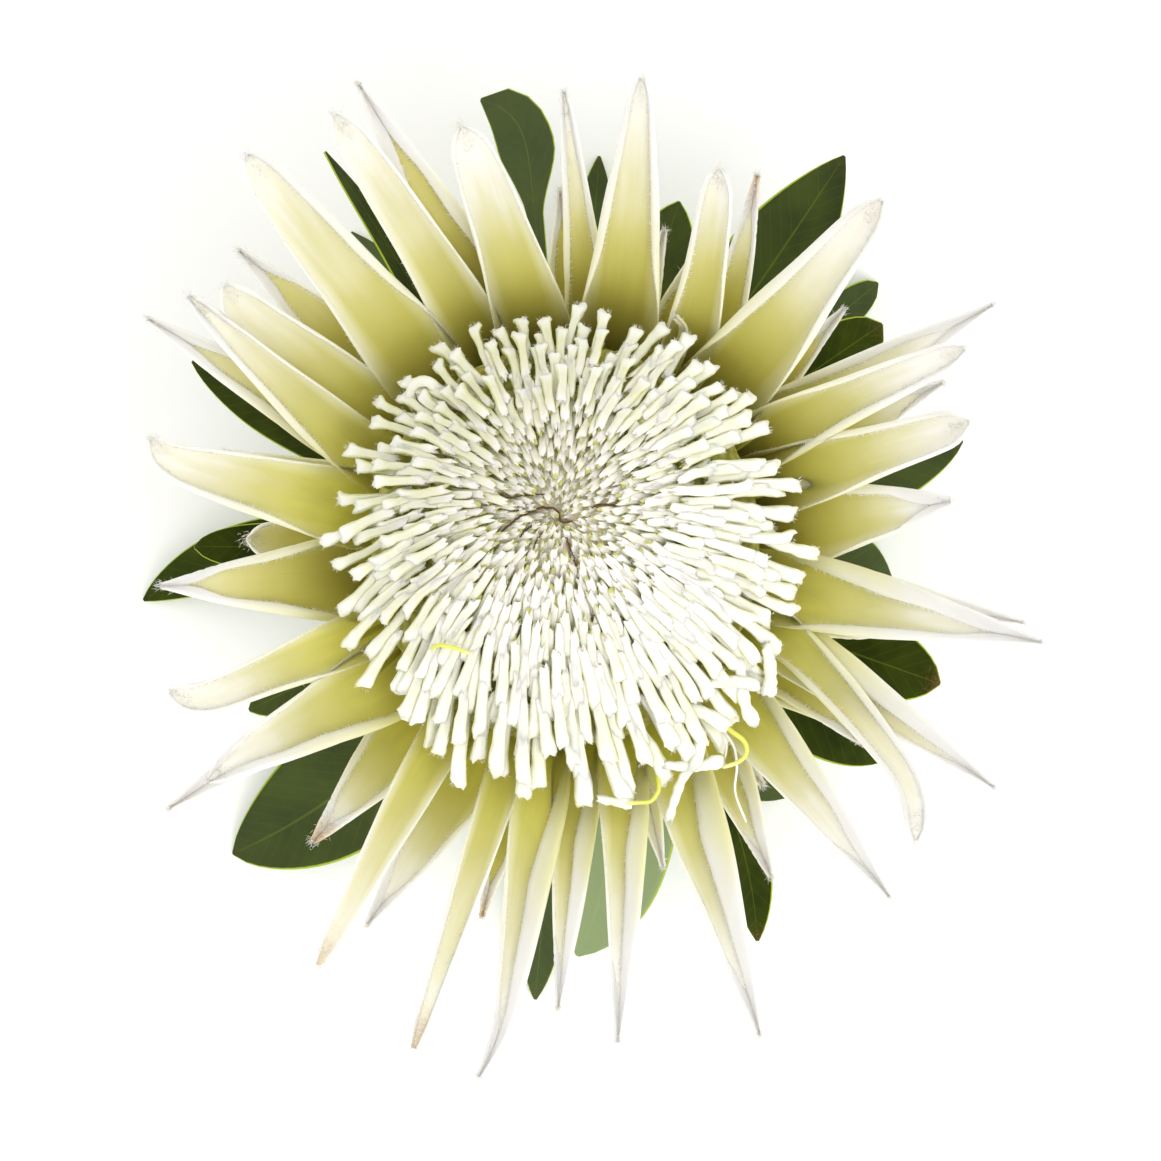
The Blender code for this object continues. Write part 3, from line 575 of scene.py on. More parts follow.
# How far inside the collar's edge and below its middle a bract starts, then the places it passes, as radius and
# height: at its shoulder and the florets' rim, each with what its depth changes, and shares of the way on to its tip
BRACT_ROOT = np.array((2.2, 0.6))
BRACT_SHOULDER = np.array((37.5, 63.5))
SHOULDER_CHANGE = np.array((6.0, -15.0))
BRACT_RIM = np.array((49.0, 76.0))
RIM_CHANGE = np.array((3.0, -21.0))
OUTER_STEP = np.array((0.45, 0.24))
TIP_STEP = np.array((1.0, 0.4))
# Radius where a bract starts to bend sideways
BEND_RADIUS = 30.0
# Where a bract is widest, as a share of its length, its width at the foot as a share of the greatest, and half its
# width at a sharp tip
BRACT_WIDEST = 0.38
BRACT_FOOT_WIDTH = 0.3
BRACT_TIP_HALF = 0.4
BRACT_ROWS = 52
BRACT_COLUMNS = 25
BRACT_THICKNESS = 0.9
# Slope of the margins in radians, what a hood adds at the end, and how much it changes along the bract
BRACT_CUP = 0.5
HOOD_CUP = 0.7
BRACT_CUP_CHANGE = 0.1
# Shares of the length where a hood and a curl of the tip start, and fullness up to which the end is pointed
HOOD_START = 0.86
CURL_START = 0.8
POINTED_FULLNESS = 1.9
# Where a folded margin starts, how much sooner at full width, and the length it takes to fold over
FOLD_START = 0.36
FOLD_SOONER = 0.16
FOLD_LENGTH = 0.36
# Share of a bract's length whose colours its collar takes
COLLAR_ALONG = 0.1
# Hairs on each margin, from this share of the length outwards, and at the tip, where they are so many times as long
FRINGE_COUNT = 130
FRINGE_START = 0.36
TIP_HAIRS = 150
TIP_HAIR_SIZE = 1.6
# Length of the shortest hair, what the longest has more, and half the width of a hair on the bracts
HAIR_LENGTHS = (0.4, 0.7)
BRACT_HAIR_HALF = 0.06
# Radius where the bracts come out from among the florets, and how far out the florets' shade reaches
FLORET_EDGE = 45.0
EDGE_SHADE = 26.0
# Azimuth of the side whose bracts get a painted shadow of the floret dome: a deeper olive at the florets
SHADOWED_SIDE = 65.0
DOWN_WHITE = "f5f2e4"
TIP_TAN = "c2955a"

# One row for each bract of a ring: depth behind the florets (0 nearest, 1 furthest down), azimuth where it leaves
# the florets, azimuth and reach of the tip, greatest width, fullness of the end (1.4 long and pointed, 2.6 blunt),
# width folded over on the clockwise and on the other margin as shares of the half width, lift and sideways curl
# of the tip, openness of its inner face (1 pale to the florets) and brown at the tip. The rows made in a loop are
# hidden behind the others and complete their ring
BRACTS = {
    "inner": (
        (0.32, 105, 114, 102.5, 14.0, 1.4, 0.45, 0.5, 0, 0, 0.2, 0.1),
        (0.06, 110.8, 118, 99, 12.5, 2.6, 0.1, 0.05, 10, 0, 0.9, 0.0),
        (0.08, 128, 129, 102, 17.3, 2.3, 0.2, 0.05, 12, 0, 0.85, 0.0),
        (0.16, 145, 143.4, 89.0, 15.4, 2.6, 0.1, 0.1, 34, -14, 0.8, 0.0),
        (0.02, 157, 146, 91.5, 12.0, 1.8, 0.1, 0.25, 10, 0, 0.75, 0.0),
        (0.12, 169.3, 167.4, 89.5, 16.0, 2.2, 0.1, 0.15, 42, -26, 0.95, 0.1),
        (0.10, 96.3, 104, 89, 15.5, 2.6, 0.08, 0.1, 26, 0, 1.15, 0.05),
        (0.24, 82.7, 90.3, 92.5, 8.5, 1.8, 0.3, 0.3, 5, 0, 0.9, 0.0),
        (0.05, 75.5, 80.9, 96, 16.0, 1.9, 0.2, 0.2, 8, 0, 0.85, 0.0),
        (0.12, 54, 68.3, 83.5, 11.5, 2.6, 0.1, 0.15, 20, 0, 0.95, 0.0),
        (0.00, 59, 62, 56, 5.0, 1.4, 0.4, 0.4, 60, 40, 0.9, 0.1),
        (0.14, 45, 48, 95.5, 18.2, 2.1, 0.15, 0.25, 20, 0, 1.0, 0.15),
        (0.08, 30.3, 26.8, 90.5, 12.5, 2.3, 0.25, 0.15, 18, 0, 1.1, 0.0),
        (0.12, 18, 17.6, 86, 14.5, 2.6, 0.12, 0.15, 20, 0, 1.05, 0.05),
        (0.24, 6.5, 7.3, 78.5, 20.0, 1.6, 0.1, 0.25, 0, 0, 1.0, 0.0),
        (0.10, -9, -11, 97, 16.0, 1.4, 0.3, 0.6, 0, 0, 1.4, 0.0),
        (0.18, -20.5, -29, 98, 12.0, 1.4, 0.15, 0.95, 0, 0, 1.15, 0.0),
        (0.04, -15, -36.4, 94, 9.0, 2.6, 0.3, 0.3, -12, -36, 1.2, 0.0),
        (0.12, -40, -47, 95, 13.0, 1.4, 0.1, 0.5, 0, 0, 1.3, 0.0),
        (0.15, -60.5, -68.2, 104.3, 13.0, 1.4, 0.12, 1.0, 0, 0, 1.05, 0.0),
        (0.10, -73, -84, 99, 10.0, 1.5, 0.1, 0.9, 0, 0, 1.15, 0.0),
        (0.20, -86, -91, 92, 10.0, 1.5, 0.1, 0.9, 0, 0, 0.7, 0.0),
        (0.12, -95.3, -97.6, 107, 11.0, 1.5, 0.15, 0.9, 0, -18, 1.0, 0.0),
        (0.05, -105, -107, 104, 7.5, 2.0, 0.15, 0.15, 0, 0, 0.75, 0.6),
        (0.08, -124.5, -120.8, 97, 9.5, 1.9, 0.1, 0.05, 5, 0, 0.8, 0.5),
        (0.14, -143, -148, 86.5, 17.0, 1.8, 0.1, 0.35, 18, 8, 1.0, 0.0),
        (0.08, -157.5, -157.4, 87.5, 11.0, 2.6, 0.12, 0.15, 40, -30, 1.1, 0.0),
        (0.22, -172, -175, 82.5, 18.0, 1.4, 0.2, 0.25, 8, 0, 0.35, 0.0),
    ),
    "middle": (
        (0.52, 136, 137.5, 90, 15.0, 1.5, 0.12, 0.35, 0, 0, 0.3, 0.1),
        (0.50, 153, 151, 97, 12.0, 1.5, 0.4, 0.4, 10, 0, 0.7, 0.1),
        (0.50, 47, 63, 85.5, 9.5, 1.5, 0.2, 0.2, 0, 0, 0.5, 0.9),
        (0.58, 36, 41, 75, 10.0, 1.5, 0.15, 0.4, 0, 0, 0.5, 0.2),
        (0.48, 31, 29.9, 99.5, 13.0, 1.4, 0.3, 0.3, 5, 0, 1.2, 0.0),
        (0.58, 22, 24, 84, 13.0, 1.5, 0.1, 0.1, 5, 0, 0.9, 0.0),
        (0.50, -6, -9, 93.5, 10.0, 1.4, 0.5, 0.5, 0, 0, 1.0, 0.0),
        (0.50, -48, -58, 79, 12.0, 1.5, 0.1, 0.6, 20, 0, 0.8, 0.1),
        (0.50, -112, -118, 86, 14.0, 1.5, 0.15, 0.15, 0, 0, 0.9, 0.1),
        (0.56, -131, -131, 79, 16.0, 1.5, 0.15, 0.15, 15, 0, 0.9, 1.0),
        (0.48, -147, -147, 96, 12.0, 1.4, 0.4, 0.4, 10, 0, 0.8, 0.2),
        *((0.64, foot, tip, 68, 12.0, 1.6, 0.2, 0.2, 0, 0, 0.2, 0.2) for foot, tip in (
            (116, 117), (97, 100), (76, 79),
        )),
        (0.62, -27, -33, 72, 10.0, 1.6, 0.3, 0.3, 0, 0, 0.6, 0.2),
        (0.60, -72, -80, 70, 9.0, 1.6, 0.3, 0.3, 0, 0, 0.6, 0.2),
        (0.60, -92, -96, 72, 9.0, 1.6, 0.3, 0.3, 0, 0, 0.6, 0.2),
        (0.62, -172, -173, 68, 13.0, 1.6, 0.3, 0.3, 0, 0, 0.3, 0.2),
    ),
    "outer": (
        (0.85, 166, 164, 73, 13.0, 1.5, 0.3, 0.3, 10, 0, 0.0, 0.3),
        (0.88, 89, 91, 74, 10.0, 1.5, 0.3, 0.3, 0, 0, 0.2, 0.3),
        (0.86, 73, 73, 69, 10.0, 1.5, 0.3, 0.3, 0, 0, 0.2, 0.3),
        (0.84, 66, 67, 65, 9.0, 1.5, 0.3, 0.3, 0, 0, 0.2, 0.3),
        (0.85, -14, -15, 69, 12.0, 1.5, 0.4, 0.1, 40, 10, 0.0, 0.5),
        (0.88, -30, -31, 74, 13.0, 1.5, 0.3, 0.2, 10, 0, 0.0, 0.3),
        (0.85, -70, -73, 68, 8.0, 1.4, 0.9, 0.9, 0, 0, 0.8, 0.0),
        (0.85, -102, -103, 77, 10.0, 1.4, 0.3, 0.3, 0, 0, 0.0, 1.0),
        (0.85, -152, -154, 63, 10.0, 1.5, 0.5, 0.3, 60, 0, 0.0, 1.0),
        *((0.85, side, side, reach, width, 1.5, 0.3, 0.3, 0, 0, 0.1, 0.4) for side, reach, width in (
            (109, 62, 11.0), (129, 62, 12.0), (147, 62, 12.0), (47, 64, 12.0), (26, 64, 12.0), (6, 62, 12.0),
            (-50, 63, 12.0), (-87, 63, 9.0), (-128, 62, 12.0),
        )),
        (0.72, 178, 178, 66.5, 15.0, 2.3, 0.1, 0.1, 25, 0, 0.6, 0.0),
    ),
}


def bract_spine(ring, depth, foot, tip, reach, lift, swerve):
    """Places along a bract, from inside its collar to its tip, whose end curls up and sideways."""
    ring_height, ring_radius = BRACT_RINGS[ring]
    start = np.array((ring_radius, ring_height)) - BRACT_ROOT
    shoulder = BRACT_SHOULDER + depth * SHOULDER_CHANGE
    rim = BRACT_RIM + depth * RIM_CHANGE
    span = reach - rim[0]
    way = curve_through((start, shoulder, rim, rim + span * OUTER_STEP, rim + span * TIP_STEP), BRACT_ROWS)
    share = clamped((1.0 - BEND_RADIUS / way[:, 0]) / (1.0 - BEND_RADIUS / reach))
    spine = standing(way[:, 0], way[:, 1], np.radians(foot + (tip - foot) * share ** 2))
    moves = np.diff(spine, axis=0)
    side, upward = crosswise(moves)
    turned = smooth((np.linspace(0.0, 1.0, BRACT_ROWS - 1) - CURL_START) / (1.0 - CURL_START))
    rise = np.radians(lift) * turned[:, None]
    swing = np.radians(swerve) * turned[:, None]
    moves = moves * np.cos(rise) + upward * np.sin(rise)
    moves = moves * np.cos(swing) + side * np.linalg.norm(moves, axis=1)[:, None] * np.sin(swing)
    return np.vstack((spine[:1], spine[0] + np.cumsum(moves, axis=0)))


def bract_halves(width, fullness, shares):
    """Half widths from the foot to the tip."""
    swell = np.sin(0.5 * np.pi * clamped(shares / BRACT_WIDEST)) ** 1.5
    bluntness = min(max((fullness - 1.4) / 1.2, 0.0), 1.0)
    onwards = clamped((shares - BRACT_WIDEST) / (1.0 - BRACT_WIDEST))
    taper = 1.0 - (0.97 - 0.43 * bluntness) * onwards ** (1.5 - 0.4 * bluntness)
    rounding = clamped((onwards - 0.89) / 0.11) ** 2.0
    close = taper * np.sqrt(1.0 - rounding * clamped(3.0 * bluntness))
    form = np.where(shares < BRACT_WIDEST, BRACT_FOOT_WIDTH + (1.0 - BRACT_FOOT_WIDTH) * swell, close)
    return np.maximum(0.5 * width * form, BRACT_TIP_HALF)


def needles(roots, directions, lengths, width):
    """Hairs as slim three-sided needles that stand on their roots."""
    directions = unit(directions)
    first = unit(np.cross(directions, np.array((0.31, 0.52, 0.79))))
    second = np.cross(directions, first)
    corners = [
        roots + width * (math.cos(turn) * first + math.sin(turn) * second)
        for turn in (0.0, 2.0 * math.pi / 3.0, 4.0 * math.pi / 3.0)
    ]
    points = np.stack((*corners, roots + directions * lengths[:, None]), axis=1).reshape(-1, 3)
    start = 4 * np.arange(len(roots))[:, None]
    faces = np.vstack([start + np.array(face) for face in ((0, 2, 1), (0, 1, 3), (1, 2, 3), (2, 0, 3))])
    return points, faces


# Bract flesh: smooth, faintly ribbed along at 0.5 mm, with a silky bloom, and light passes a little way into it. It
# takes three runs of colour from the florets outwards: the inner face in shade, the open inner face, and the back
bract_skin, tree, shader = new_material(
    "bract_skin", Roughness=0.5, Specular_IOR_Level=0.3, Sheen_Weight=0.25, Sheen_Roughness=0.4,
    Subsurface_Weight=0.65, Subsurface_Radius=(1.0, 1.0, 0.88), Subsurface_Scale=0.003,
)
along, across, inner, tone, bared, openness, brown = [
    add_node(tree, "Attribute", {"attribute_name": mark}, "Fac")
    for mark in ("along", "across", "inner", "tone", "bared", "openness", "brown")
]
grain = add_node(tree, "Attribute", {"attribute_name": "grain"}, "Vector")
off_rib = add_node(tree, "Math", {"operation": "ABSOLUTE", 0: across})
stretch = add_node(tree, "Mapping", {"Scale": (2.0, 0.05, 1.0), "Vector": grain})
ribs = add_node(tree, "TexNoise", {"Scale": 1.0, "Detail": 3.0, "Vector": stretch})
broad = add_node(tree, "Mapping", {"Scale": (0.35, 0.045, 1.0), "Vector": grain})
washes = add_node(tree, "TexNoise", {"Scale": 1.0, "Detail": 2.0, "Vector": broad})
spots = add_node(tree, "TexNoise", {"Scale": 1.3, "Detail": 3.0, "Vector": grain})
washed = add_node(tree, "Math", {"operation": "MULTIPLY_ADD", 0: washes, 1: 0.3, 2: -0.16})
shifted = add_node(tree, "Math", {"operation": "MULTIPLY_ADD", 0: tone, 1: 0.1, 2: washed})
ribbed = add_node(tree, "Math", {"operation": "MULTIPLY_ADD", 0: ribs, 1: 0.03, 2: shifted})
far = add_node(tree, "Math", {"operation": "ADD", 0: bared, 1: ribbed})
# The open inner face's run is brightest at the florets and dimmer in the middle: painted light against the florets'
# shade
deep, pale, back = [
    add_node(tree, "ValToRGB", {"ramp": ramp, "Fac": far}) for ramp in (
        ((0.0, "8a8233"), (0.25, "989038"), (0.55, "a9a147"), (0.85, "bfb765"), (1.0, "c0bb7a")),
        ((0.0, "f0e874"), (0.12, "e6de70"), (0.38, "c6c066"), (0.6, "c0bb7a"), (0.82, "ccc7a4"), (1.0, "e2dfd6")),
        ((0.0, "d2cd70"), (0.35, "dcd682"), (0.65, "e7e2a6"), (0.9, DOWN_WHITE), (1.0, "ece8de")),
    )
]
face_colour = add_node(tree, "Mix", {"data_type": "RGBA", 0: openness, 6: deep, 7: pale}, 2)
faced = add_node(tree, "Mix", {"data_type": "RGBA", 0: inner, 6: back, 7: face_colour}, 2)
margin = add_node(tree, "MapRange", {"From Min": 0.5, "From Max": 1.0, "To Max": 0.6, "Value": off_rib})
outwards = add_node(tree, "MapRange", {"From Min": 0.0, "From Max": 0.4, "Value": bared})
margin_share = add_node(tree, "Math", {"operation": "MULTIPLY", 0: margin, 1: outwards})
edged = add_node(tree, "Mix", {"data_type": "RGBA", 0: margin_share, 6: faced, 7: DOWN_WHITE}, 2)
near_tip = add_node(tree, "Math", {"operation": "MULTIPLY_ADD", 0: spots, 1: 0.1, 2: along})
tip = add_node(tree, "MapRange", {"From Min": 0.94, "From Max": 1.06, "Value": near_tip})
tip_share = add_node(tree, "Math", {"operation": "MULTIPLY", 0: tip, 1: brown})
tipped = add_node(tree, "Mix", {"data_type": "RGBA", 0: tip_share, 6: edged, 7: TIP_TAN}, 2)
relief = add_node(tree, "Bump", {"Strength": 0.25, "Distance": 0.0002, "Height": ribs})
tree.links.new(tipped, shader.inputs["Base Color"])
tree.links.new(relief, shader.inputs["Normal"])

# Silky down: fine white hairs, so short and dense that they read as a soft edge. Drawn thicker than life to show
down, tree, shader = new_material(
    "silky_down", Roughness=0.75, Specular_IOR_Level=0.2, Sheen_Weight=0.4, Sheen_Roughness=0.4,
)
place = add_node(tree, "TexCoord", {}, "Object")
patches = add_node(tree, "TexNoise", {"Scale": 160.0, "Detail": 2.0, "Vector": place})
colour = add_node(tree, "ValToRGB", {"ramp": ((0.35, "f0ecdc"), (0.6, "faf8f4")), "Fac": patches})
tree.links.new(colour, shader.inputs["Base Color"])

draw = random.Random(5)
scatter = np.random.default_rng(5)
shares = np.linspace(0.0, 1.0, BRACT_ROWS)
fringe_roots = []
fringe_ways = []
for ring, (ring_height, ring_radius) in BRACT_RINGS.items():
    low = ring_height - 0.5 * RING_HEIGHT
    high = ring_height + 0.5 * RING_HEIGHT
    inside = POST_RADIUS + SEAT_GAP
    collar = np.array((
        (inside, low), (ring_radius, low), (ring_radius - 0.3, ring_height), (ring_radius - 1.0, high),
        (inside, high), (inside, low),
    ))
    rings = standing(collar[:, None, 0], collar[:, None, 1], cup_angles[None, :]).reshape(-1, 3)
    parts = [(rings, [ring_faces(len(collar), CUP_SIDES)], plain_marks(
        rings, "across", "tone", "openness", "brown", "bared", along=COLLAR_ALONG, inner=1.0
    ))]
    for depth, foot, tip, reach, width, fullness, first, second, lift, swerve, opened, browned in BRACTS[ring]:
        spine = bract_spine(ring, depth, foot, tip, reach, lift, swerve)
        halves = bract_halves(width, fullness, shares)
        halves = halves * (1.0 + 0.02 * np.sin(2.0 * np.pi * (3.1 * shares + draw.random())))
        pointed = min(max((POINTED_FULLNESS - fullness) / 0.3, 0.0), 1.0)
        # A margin folds over sooner where it folds more, and those of a pointed bract meet at its tip
        flaps = []
        for side in (first, second):
            folded = side * clamped((shares - FOLD_START + FOLD_SOONER * side) / FOLD_LENGTH) ** 1.15
            closing = pointed * smooth((shares - 0.84 + 0.2 * side) / 0.16)
            flaps.append(folded + (1.0 - folded) * closing)
        hood = smooth((shares - HOOD_START) / 0.14) * (1.0 if fullness > POINTED_FULLNESS else 0.3)
        cup = BRACT_CUP + HOOD_CUP * hood + BRACT_CUP_CHANGE * np.sin(2.0 * np.pi * (1.3 * shares + draw.random()))
        thickness = BRACT_THICKNESS * (1.05 - 0.35 * shares)
        points, faces, marks = blade(spine, halves, cup, flaps, thickness, BRACT_COLUMNS, draw.random())
        beyond = np.hypot(spine[:, 0], spine[:, 1]) - FLORET_EDGE
        bared = 0.55 * beyond / (reach - FLORET_EDGE) + 0.45 * np.minimum(beyond / EDGE_SHADE, 1.0)
        # A bract whose openness is more than 1 is paler all over, partly a paler tone of its own and partly painted
        # light, and those of the shadowed side are greener at the foot, a painted shadow of the florets
        paler_and_lit = 0.15 * max(opened - 1.0, 0.0)
        marks["bared"] = by_row(bared + paler_and_lit, BRACT_COLUMNS)
        shade = max(math.cos(math.radians(foot - SHADOWED_SIDE)), 0.0)
        painted_shadow = 1.4 * shade * clamped(1.0 - beyond / EDGE_SHADE)
        marks["openness"] = by_row(clamped(opened - painted_shadow), BRACT_COLUMNS)
        marks["brown"] = np.full(len(points), browned)
        parts.append((points, faces, marks))
        sheet = 0.5 * (points[:BRACT_ROWS * BRACT_COLUMNS] + points[BRACT_ROWS * BRACT_COLUMNS:])
        sheet = sheet.reshape(BRACT_ROWS, BRACT_COLUMNS, 3)
        tangent = unit(np.gradient(spine, axis=0))
        for edge, inward in ((0, 1), (BRACT_COLUMNS - 1, BRACT_COLUMNS - 2)):
            row = FRINGE_START + (1.0 - FRINGE_START) * scatter.random(FRINGE_COUNT) ** 0.8
            place_on = row * (BRACT_ROWS - 1)
            low_row = np.minimum(place_on.astype(int), BRACT_ROWS - 2)
            part_way = (place_on - low_row)[:, None]
            root = sheet[low_row, edge] * (1.0 - part_way) + sheet[low_row + 1, edge] * part_way
            outward = unit(sheet[low_row, edge] - sheet[low_row, inward])
            fringe_roots.append(root)
            fringe_ways.append(outward + 0.7 * tangent[low_row] + 0.35 * scatter.normal(size=(FRINGE_COUNT, 3)))
        last_rows = BRACT_ROWS - 1 - scatter.integers(0, 4, TIP_HAIRS)
        spread = min(0.22 * width * max(fullness - 1.2, 0.15), 1.4)
        fringe_roots.append(spine[last_rows] + 0.5 * spread * scatter.normal(size=(TIP_HAIRS, 3)))
        fringe_ways.append(tangent[-1] + 0.8 * scatter.normal(size=(TIP_HAIRS, 3)))
    points, faces, marks = gathered(parts)
    bracts = make_piece(f"{ring}_bract_ring", points, faces, bract_skin, marks)
    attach(bracts, "root")
    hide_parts(f"bracts_{ring}")

roots = np.vstack(fringe_roots)
ways = np.vstack(fringe_ways)
sizes = np.tile(np.repeat((1.0, TIP_HAIR_SIZE), (2 * FRINGE_COUNT, TIP_HAIRS)), sum(map(len, BRACTS.values())))
lengths = (HAIR_LENGTHS[0] + HAIR_LENGTHS[1] * scatter.random(len(roots))) * sizes
points, faces = needles(roots, ways, lengths, BRACT_HAIR_HALF)
fringe = make_piece("bract_margin_down", points, [faces], down)
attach(fringe, "root")

# The floret head
# Some 580 florets packed in spirals on a dome, unopened: each a slender yellow-green tube that rises from the
# post and ends in a white velvety limb, which bends over at a blunt knee and points to the top of the dome.
FLORET_COUNT = 580
GOLDEN_ANGLE = math.pi * (3.0 - math.sqrt(5.0))
# Spacing of the florets' tips, at the top of the dome and at its rim
SPACING = (1.5, 3.9)
# Radius of the lowest tips, height of the highest one, and how much lower the lowest ones are
TIP_REACH = 37.0
APEX_HEIGHT = 110.0
DOME_DROP = 21.0
# How far the dome leans at its top and is shifted at its rim, at this radius, how it is stretched, and the heights
# between which the lean and the shift come in
DOME_LEAN = np.array((-1.2, 6.6, 0.0))
RIM_SHIFT = np.array((0.5, -1.5, 0.0))
RIM_RADIUS = 49.0
HEAD_STRETCH = np.array((1.02, 1.05, 1.0))
LEAN_FOOT = 56.0
LEAN_TOP = 88.0
LIMB_SIDES = 10
# Rise of a limb in degrees, its length and its width: at the top of the dome, and what it has more at the rim
LIMB_RISE = (55.0, -27.0)
LIMB_LENGTH = (8.0, 6.0)
LIMB_WIDTH = (1.75, 1.15)
# How far a limb strays at random: azimuth in radians, rise, swing and roll in degrees, and its tip sideways
AZIMUTH_STRAY = 0.012
RISE_STRAY = 5.0
SWING_STRAY = 13.0
ROLL_STRAY = 18.0
TIP_STRAY = 0.35
# The least and the most a limb strays in length, in width and in the height of its tip
LENGTH_STRAY = (-1.5, 1.3)
WIDTH_STRAY = (-0.2, 0.25)
HEIGHT_STRAY = (-0.9, 0.5)
# The least and the most of its arch upwards, its bow sideways and the flare of its knee, and of the raggedness of
# its ends as shares of its half width
LIMB_ARCH = (0.1, 0.8)
LIMB_BOW = (-0.6, 0.6)
LIMB_FLARE = (0.9, 1.2)
LIMB_RAGGED = (-0.9, 1.3)
# How far its knee bends down, over this share of its length, and the furrow above, as a share of its half width
KNEE_BEND = (0.9, 0.2)
LIMB_FURROW = 0.12
# How aslant the blunt end at its knee is and how much its sides are out of line, as shares of its half width
KNEE_SLANT = 0.6
SIDE_NOISE = 0.05
# Roughness of its outline, as a share of its half width, and of its skin
OUTLINE_NOISE = 0.04
SKIN_NOISE = 0.06
# A limb from its knee to its tip: share of the length, width of a flared and of a plain limb, and thickness, all
# as shares of its greatest width
LIMB_FORM = (
    (0.0, 0.86, 0.82, 0.36), (0.02, 1.06, 0.95, 0.50), (0.07, 1.15, 1.02, 0.56), (0.14, 1.06, 1.0, 0.60),
    (0.25, 0.84, 0.94, 0.60), (0.38, 0.70, 0.86, 0.56), (0.54, 0.64, 0.79, 0.52), (0.70, 0.68, 0.76, 0.48),
    (0.85, 0.80, 0.78, 0.46), (0.95, 0.78, 0.76, 0.44), (1.0, 0.62, 0.62, 0.36),
)
# Azimuth where the limbs are most flared at the knee, and how much narrower they are there, as a share. The shanks
# of the limbs on that side are given painted shade
FLARED_AND_SHADED_SIDE = math.radians(125.0)
FLARED_NARROWING = 0.13
# Azimuth where the knees of the lower florets droop, and by how much they swing that way
DROOPING_SIDE = math.radians(215.0)
DROOP = math.radians(25.0)
# Where the florets stand apart: how far each side gives way, and places from the flower's axis seen from above.
# Brown cracks near the top of the dome come first, then two gaps among the lower florets.
PARTINGS = (
    (0.55, ((-14.0, 10.4), (-9.0, 10.6), (-4.0, 10.9))),
    (0.55, ((-12.6, 3.6), (-9.8, 5.9), (-5.0, 8.2), (-1.6, 7.6), (-1.0, 5.4), (1.5, 5.6))),
    (0.5, ((-9.2, 2.4), (-6.0, 5.2))),
    (0.5, ((0.0, 2.4), (2.0, -3.4))),
    (0.4, ((5.0, 8.4), (10.2, 8.6))),
    (1.1, ((-24.6, -15.4), (-22.4, -19.4))),
    (1.0, ((-32.6, -9.0), (-30.6, -17.6))),
)
BROWN_CRACKS = 5
# Warmth of the white at the top of the dome, and the share of the way to the rim where it ends
WARMTH = 0.6
WARM_REACH = 0.75
# How far from a parting the florets still give way, and how much of what the tips do the knees do
CRACK_REACH = 2.3
KNEE_PARTING = 0.8


def leaned(points):
    """Places in the floret head, moved as the leaning dome moves them."""
    radius = np.hypot(points[..., 0], points[..., 1])
    rise = clamped((points[..., 2] - LEAN_FOOT) / (LEAN_TOP - LEAN_FOOT))
    share = np.maximum(1.0 - (radius / RIM_RADIUS) ** 2, 0.0)
    return points * HEAD_STRETCH + (RIM_SHIFT + (DOME_LEAN - RIM_SHIFT) * share[..., None]) * rise[..., None]


def from_line(points, line):
    """The way from the nearest place on a line, seen from above, and its length."""
    nearest = np.full(len(points), 1e3)
    ways = np.zeros((len(points), 2))
    for start, end in zip(np.array(line), np.array(line)[1:]):
        step = end - start
        from_start = points[:, :2] - start
        share = clamped(from_start @ step / (step @ step))
        away = from_start - share[:, None] * step
        distance = np.linalg.norm(away, axis=1)
        closer = distance < nearest
        nearest = np.where(closer, distance, nearest)
        ways = np.where(closer[:, None], away, ways)
    return ways, nearest


def parted(points, strength):
    """Places moved sideways, away from the partings."""
    points = points.copy()
    for opening, line in PARTINGS:
        away, distance = from_line(points, line)
        push = opening * strength * clamped(1.0 - distance / CRACK_REACH)
        points[:, :2] += away / np.maximum(distance, 0.1)[:, None] * push[:, None]
    return points


# Floret velvet: dense short white hairs, so it is dull with a bright edge; greyer along the middle of a limb and
# greenish underneath, partly where the tube shows through and partly painted shade; olive on the shanks of the side
# away from the soft box, painted shade; pinker at the top of the dome, and dried to brown beside the cracks
velvet, tree, shader = new_material(
    "floret_velvet", Roughness=0.85, Specular_IOR_Level=0.15, Sheen_Weight=0.4, Sheen_Roughness=0.5,
    Subsurface_Weight=0.4, Subsurface_Radius=(1.0, 1.0, 0.85), Subsurface_Scale=0.0015,
)
along, upper, tone, warmth, dried = [
    add_node(tree, "Attribute", {"attribute_name": mark}, "Fac")
    for mark in ("along", "upper", "tone", "warmth", "dried")
]
place = add_node(tree, "TexCoord", {}, "Object")
fuzz = add_node(tree, "TexNoise", {"Scale": 2200.0, "Detail": 2.0, "Vector": place})
blotches = add_node(tree, "TexNoise", {"Scale": 420.0, "Detail": 2.0, "Vector": place})
mottled = add_node(tree, "Math", {"operation": "MULTIPLY_ADD", 0: blotches, 1: 0.35, 2: -0.17})
placed = add_node(tree, "Math", {"operation": "ADD", 0: along, 1: mottled})
white = add_node(tree, "ValToRGB", {
    "ramp": ((0.0, "f5f4e8"), (0.16, "fbfaf3"), (0.42, "eeede0"), (0.72, "f1eee5"), (1.0, "fbf7f2")), "Fac": placed,
})
warmed = add_node(tree, "Mix", {"data_type": "RGBA", 0: warmth, 6: white, 7: "f5ede6"}, 2)
# The underside of each limb, facing down into the head, is tinted yellow-green: the tube showing through, and painted
# shade
below = add_node(tree, "MapRange", {"From Min": -0.5, "From Max": 0.8, "To Min": 1.0, "To Max": 0.0, "Value": upper})
tinted = add_node(tree, "Math", {"operation": "MULTIPLY_ADD", 0: tone, 1: 0.16, 2: below})
greened = add_node(tree, "Mix", {"data_type": "RGBA", 0: tinted, 6: warmed, 7: "bdbf60"}, 2)
browned = add_node(tree, "Mix", {"data_type": "RGBA", 0: dried, 6: greened, 7: "a87c52"}, 2)
relief = add_node(tree, "Bump", {"Strength": 0.5, "Distance": 0.00015, "Height": fuzz})
tree.links.new(browned, shader.inputs["Base Color"])
tree.links.new(relief, shader.inputs["Normal"])

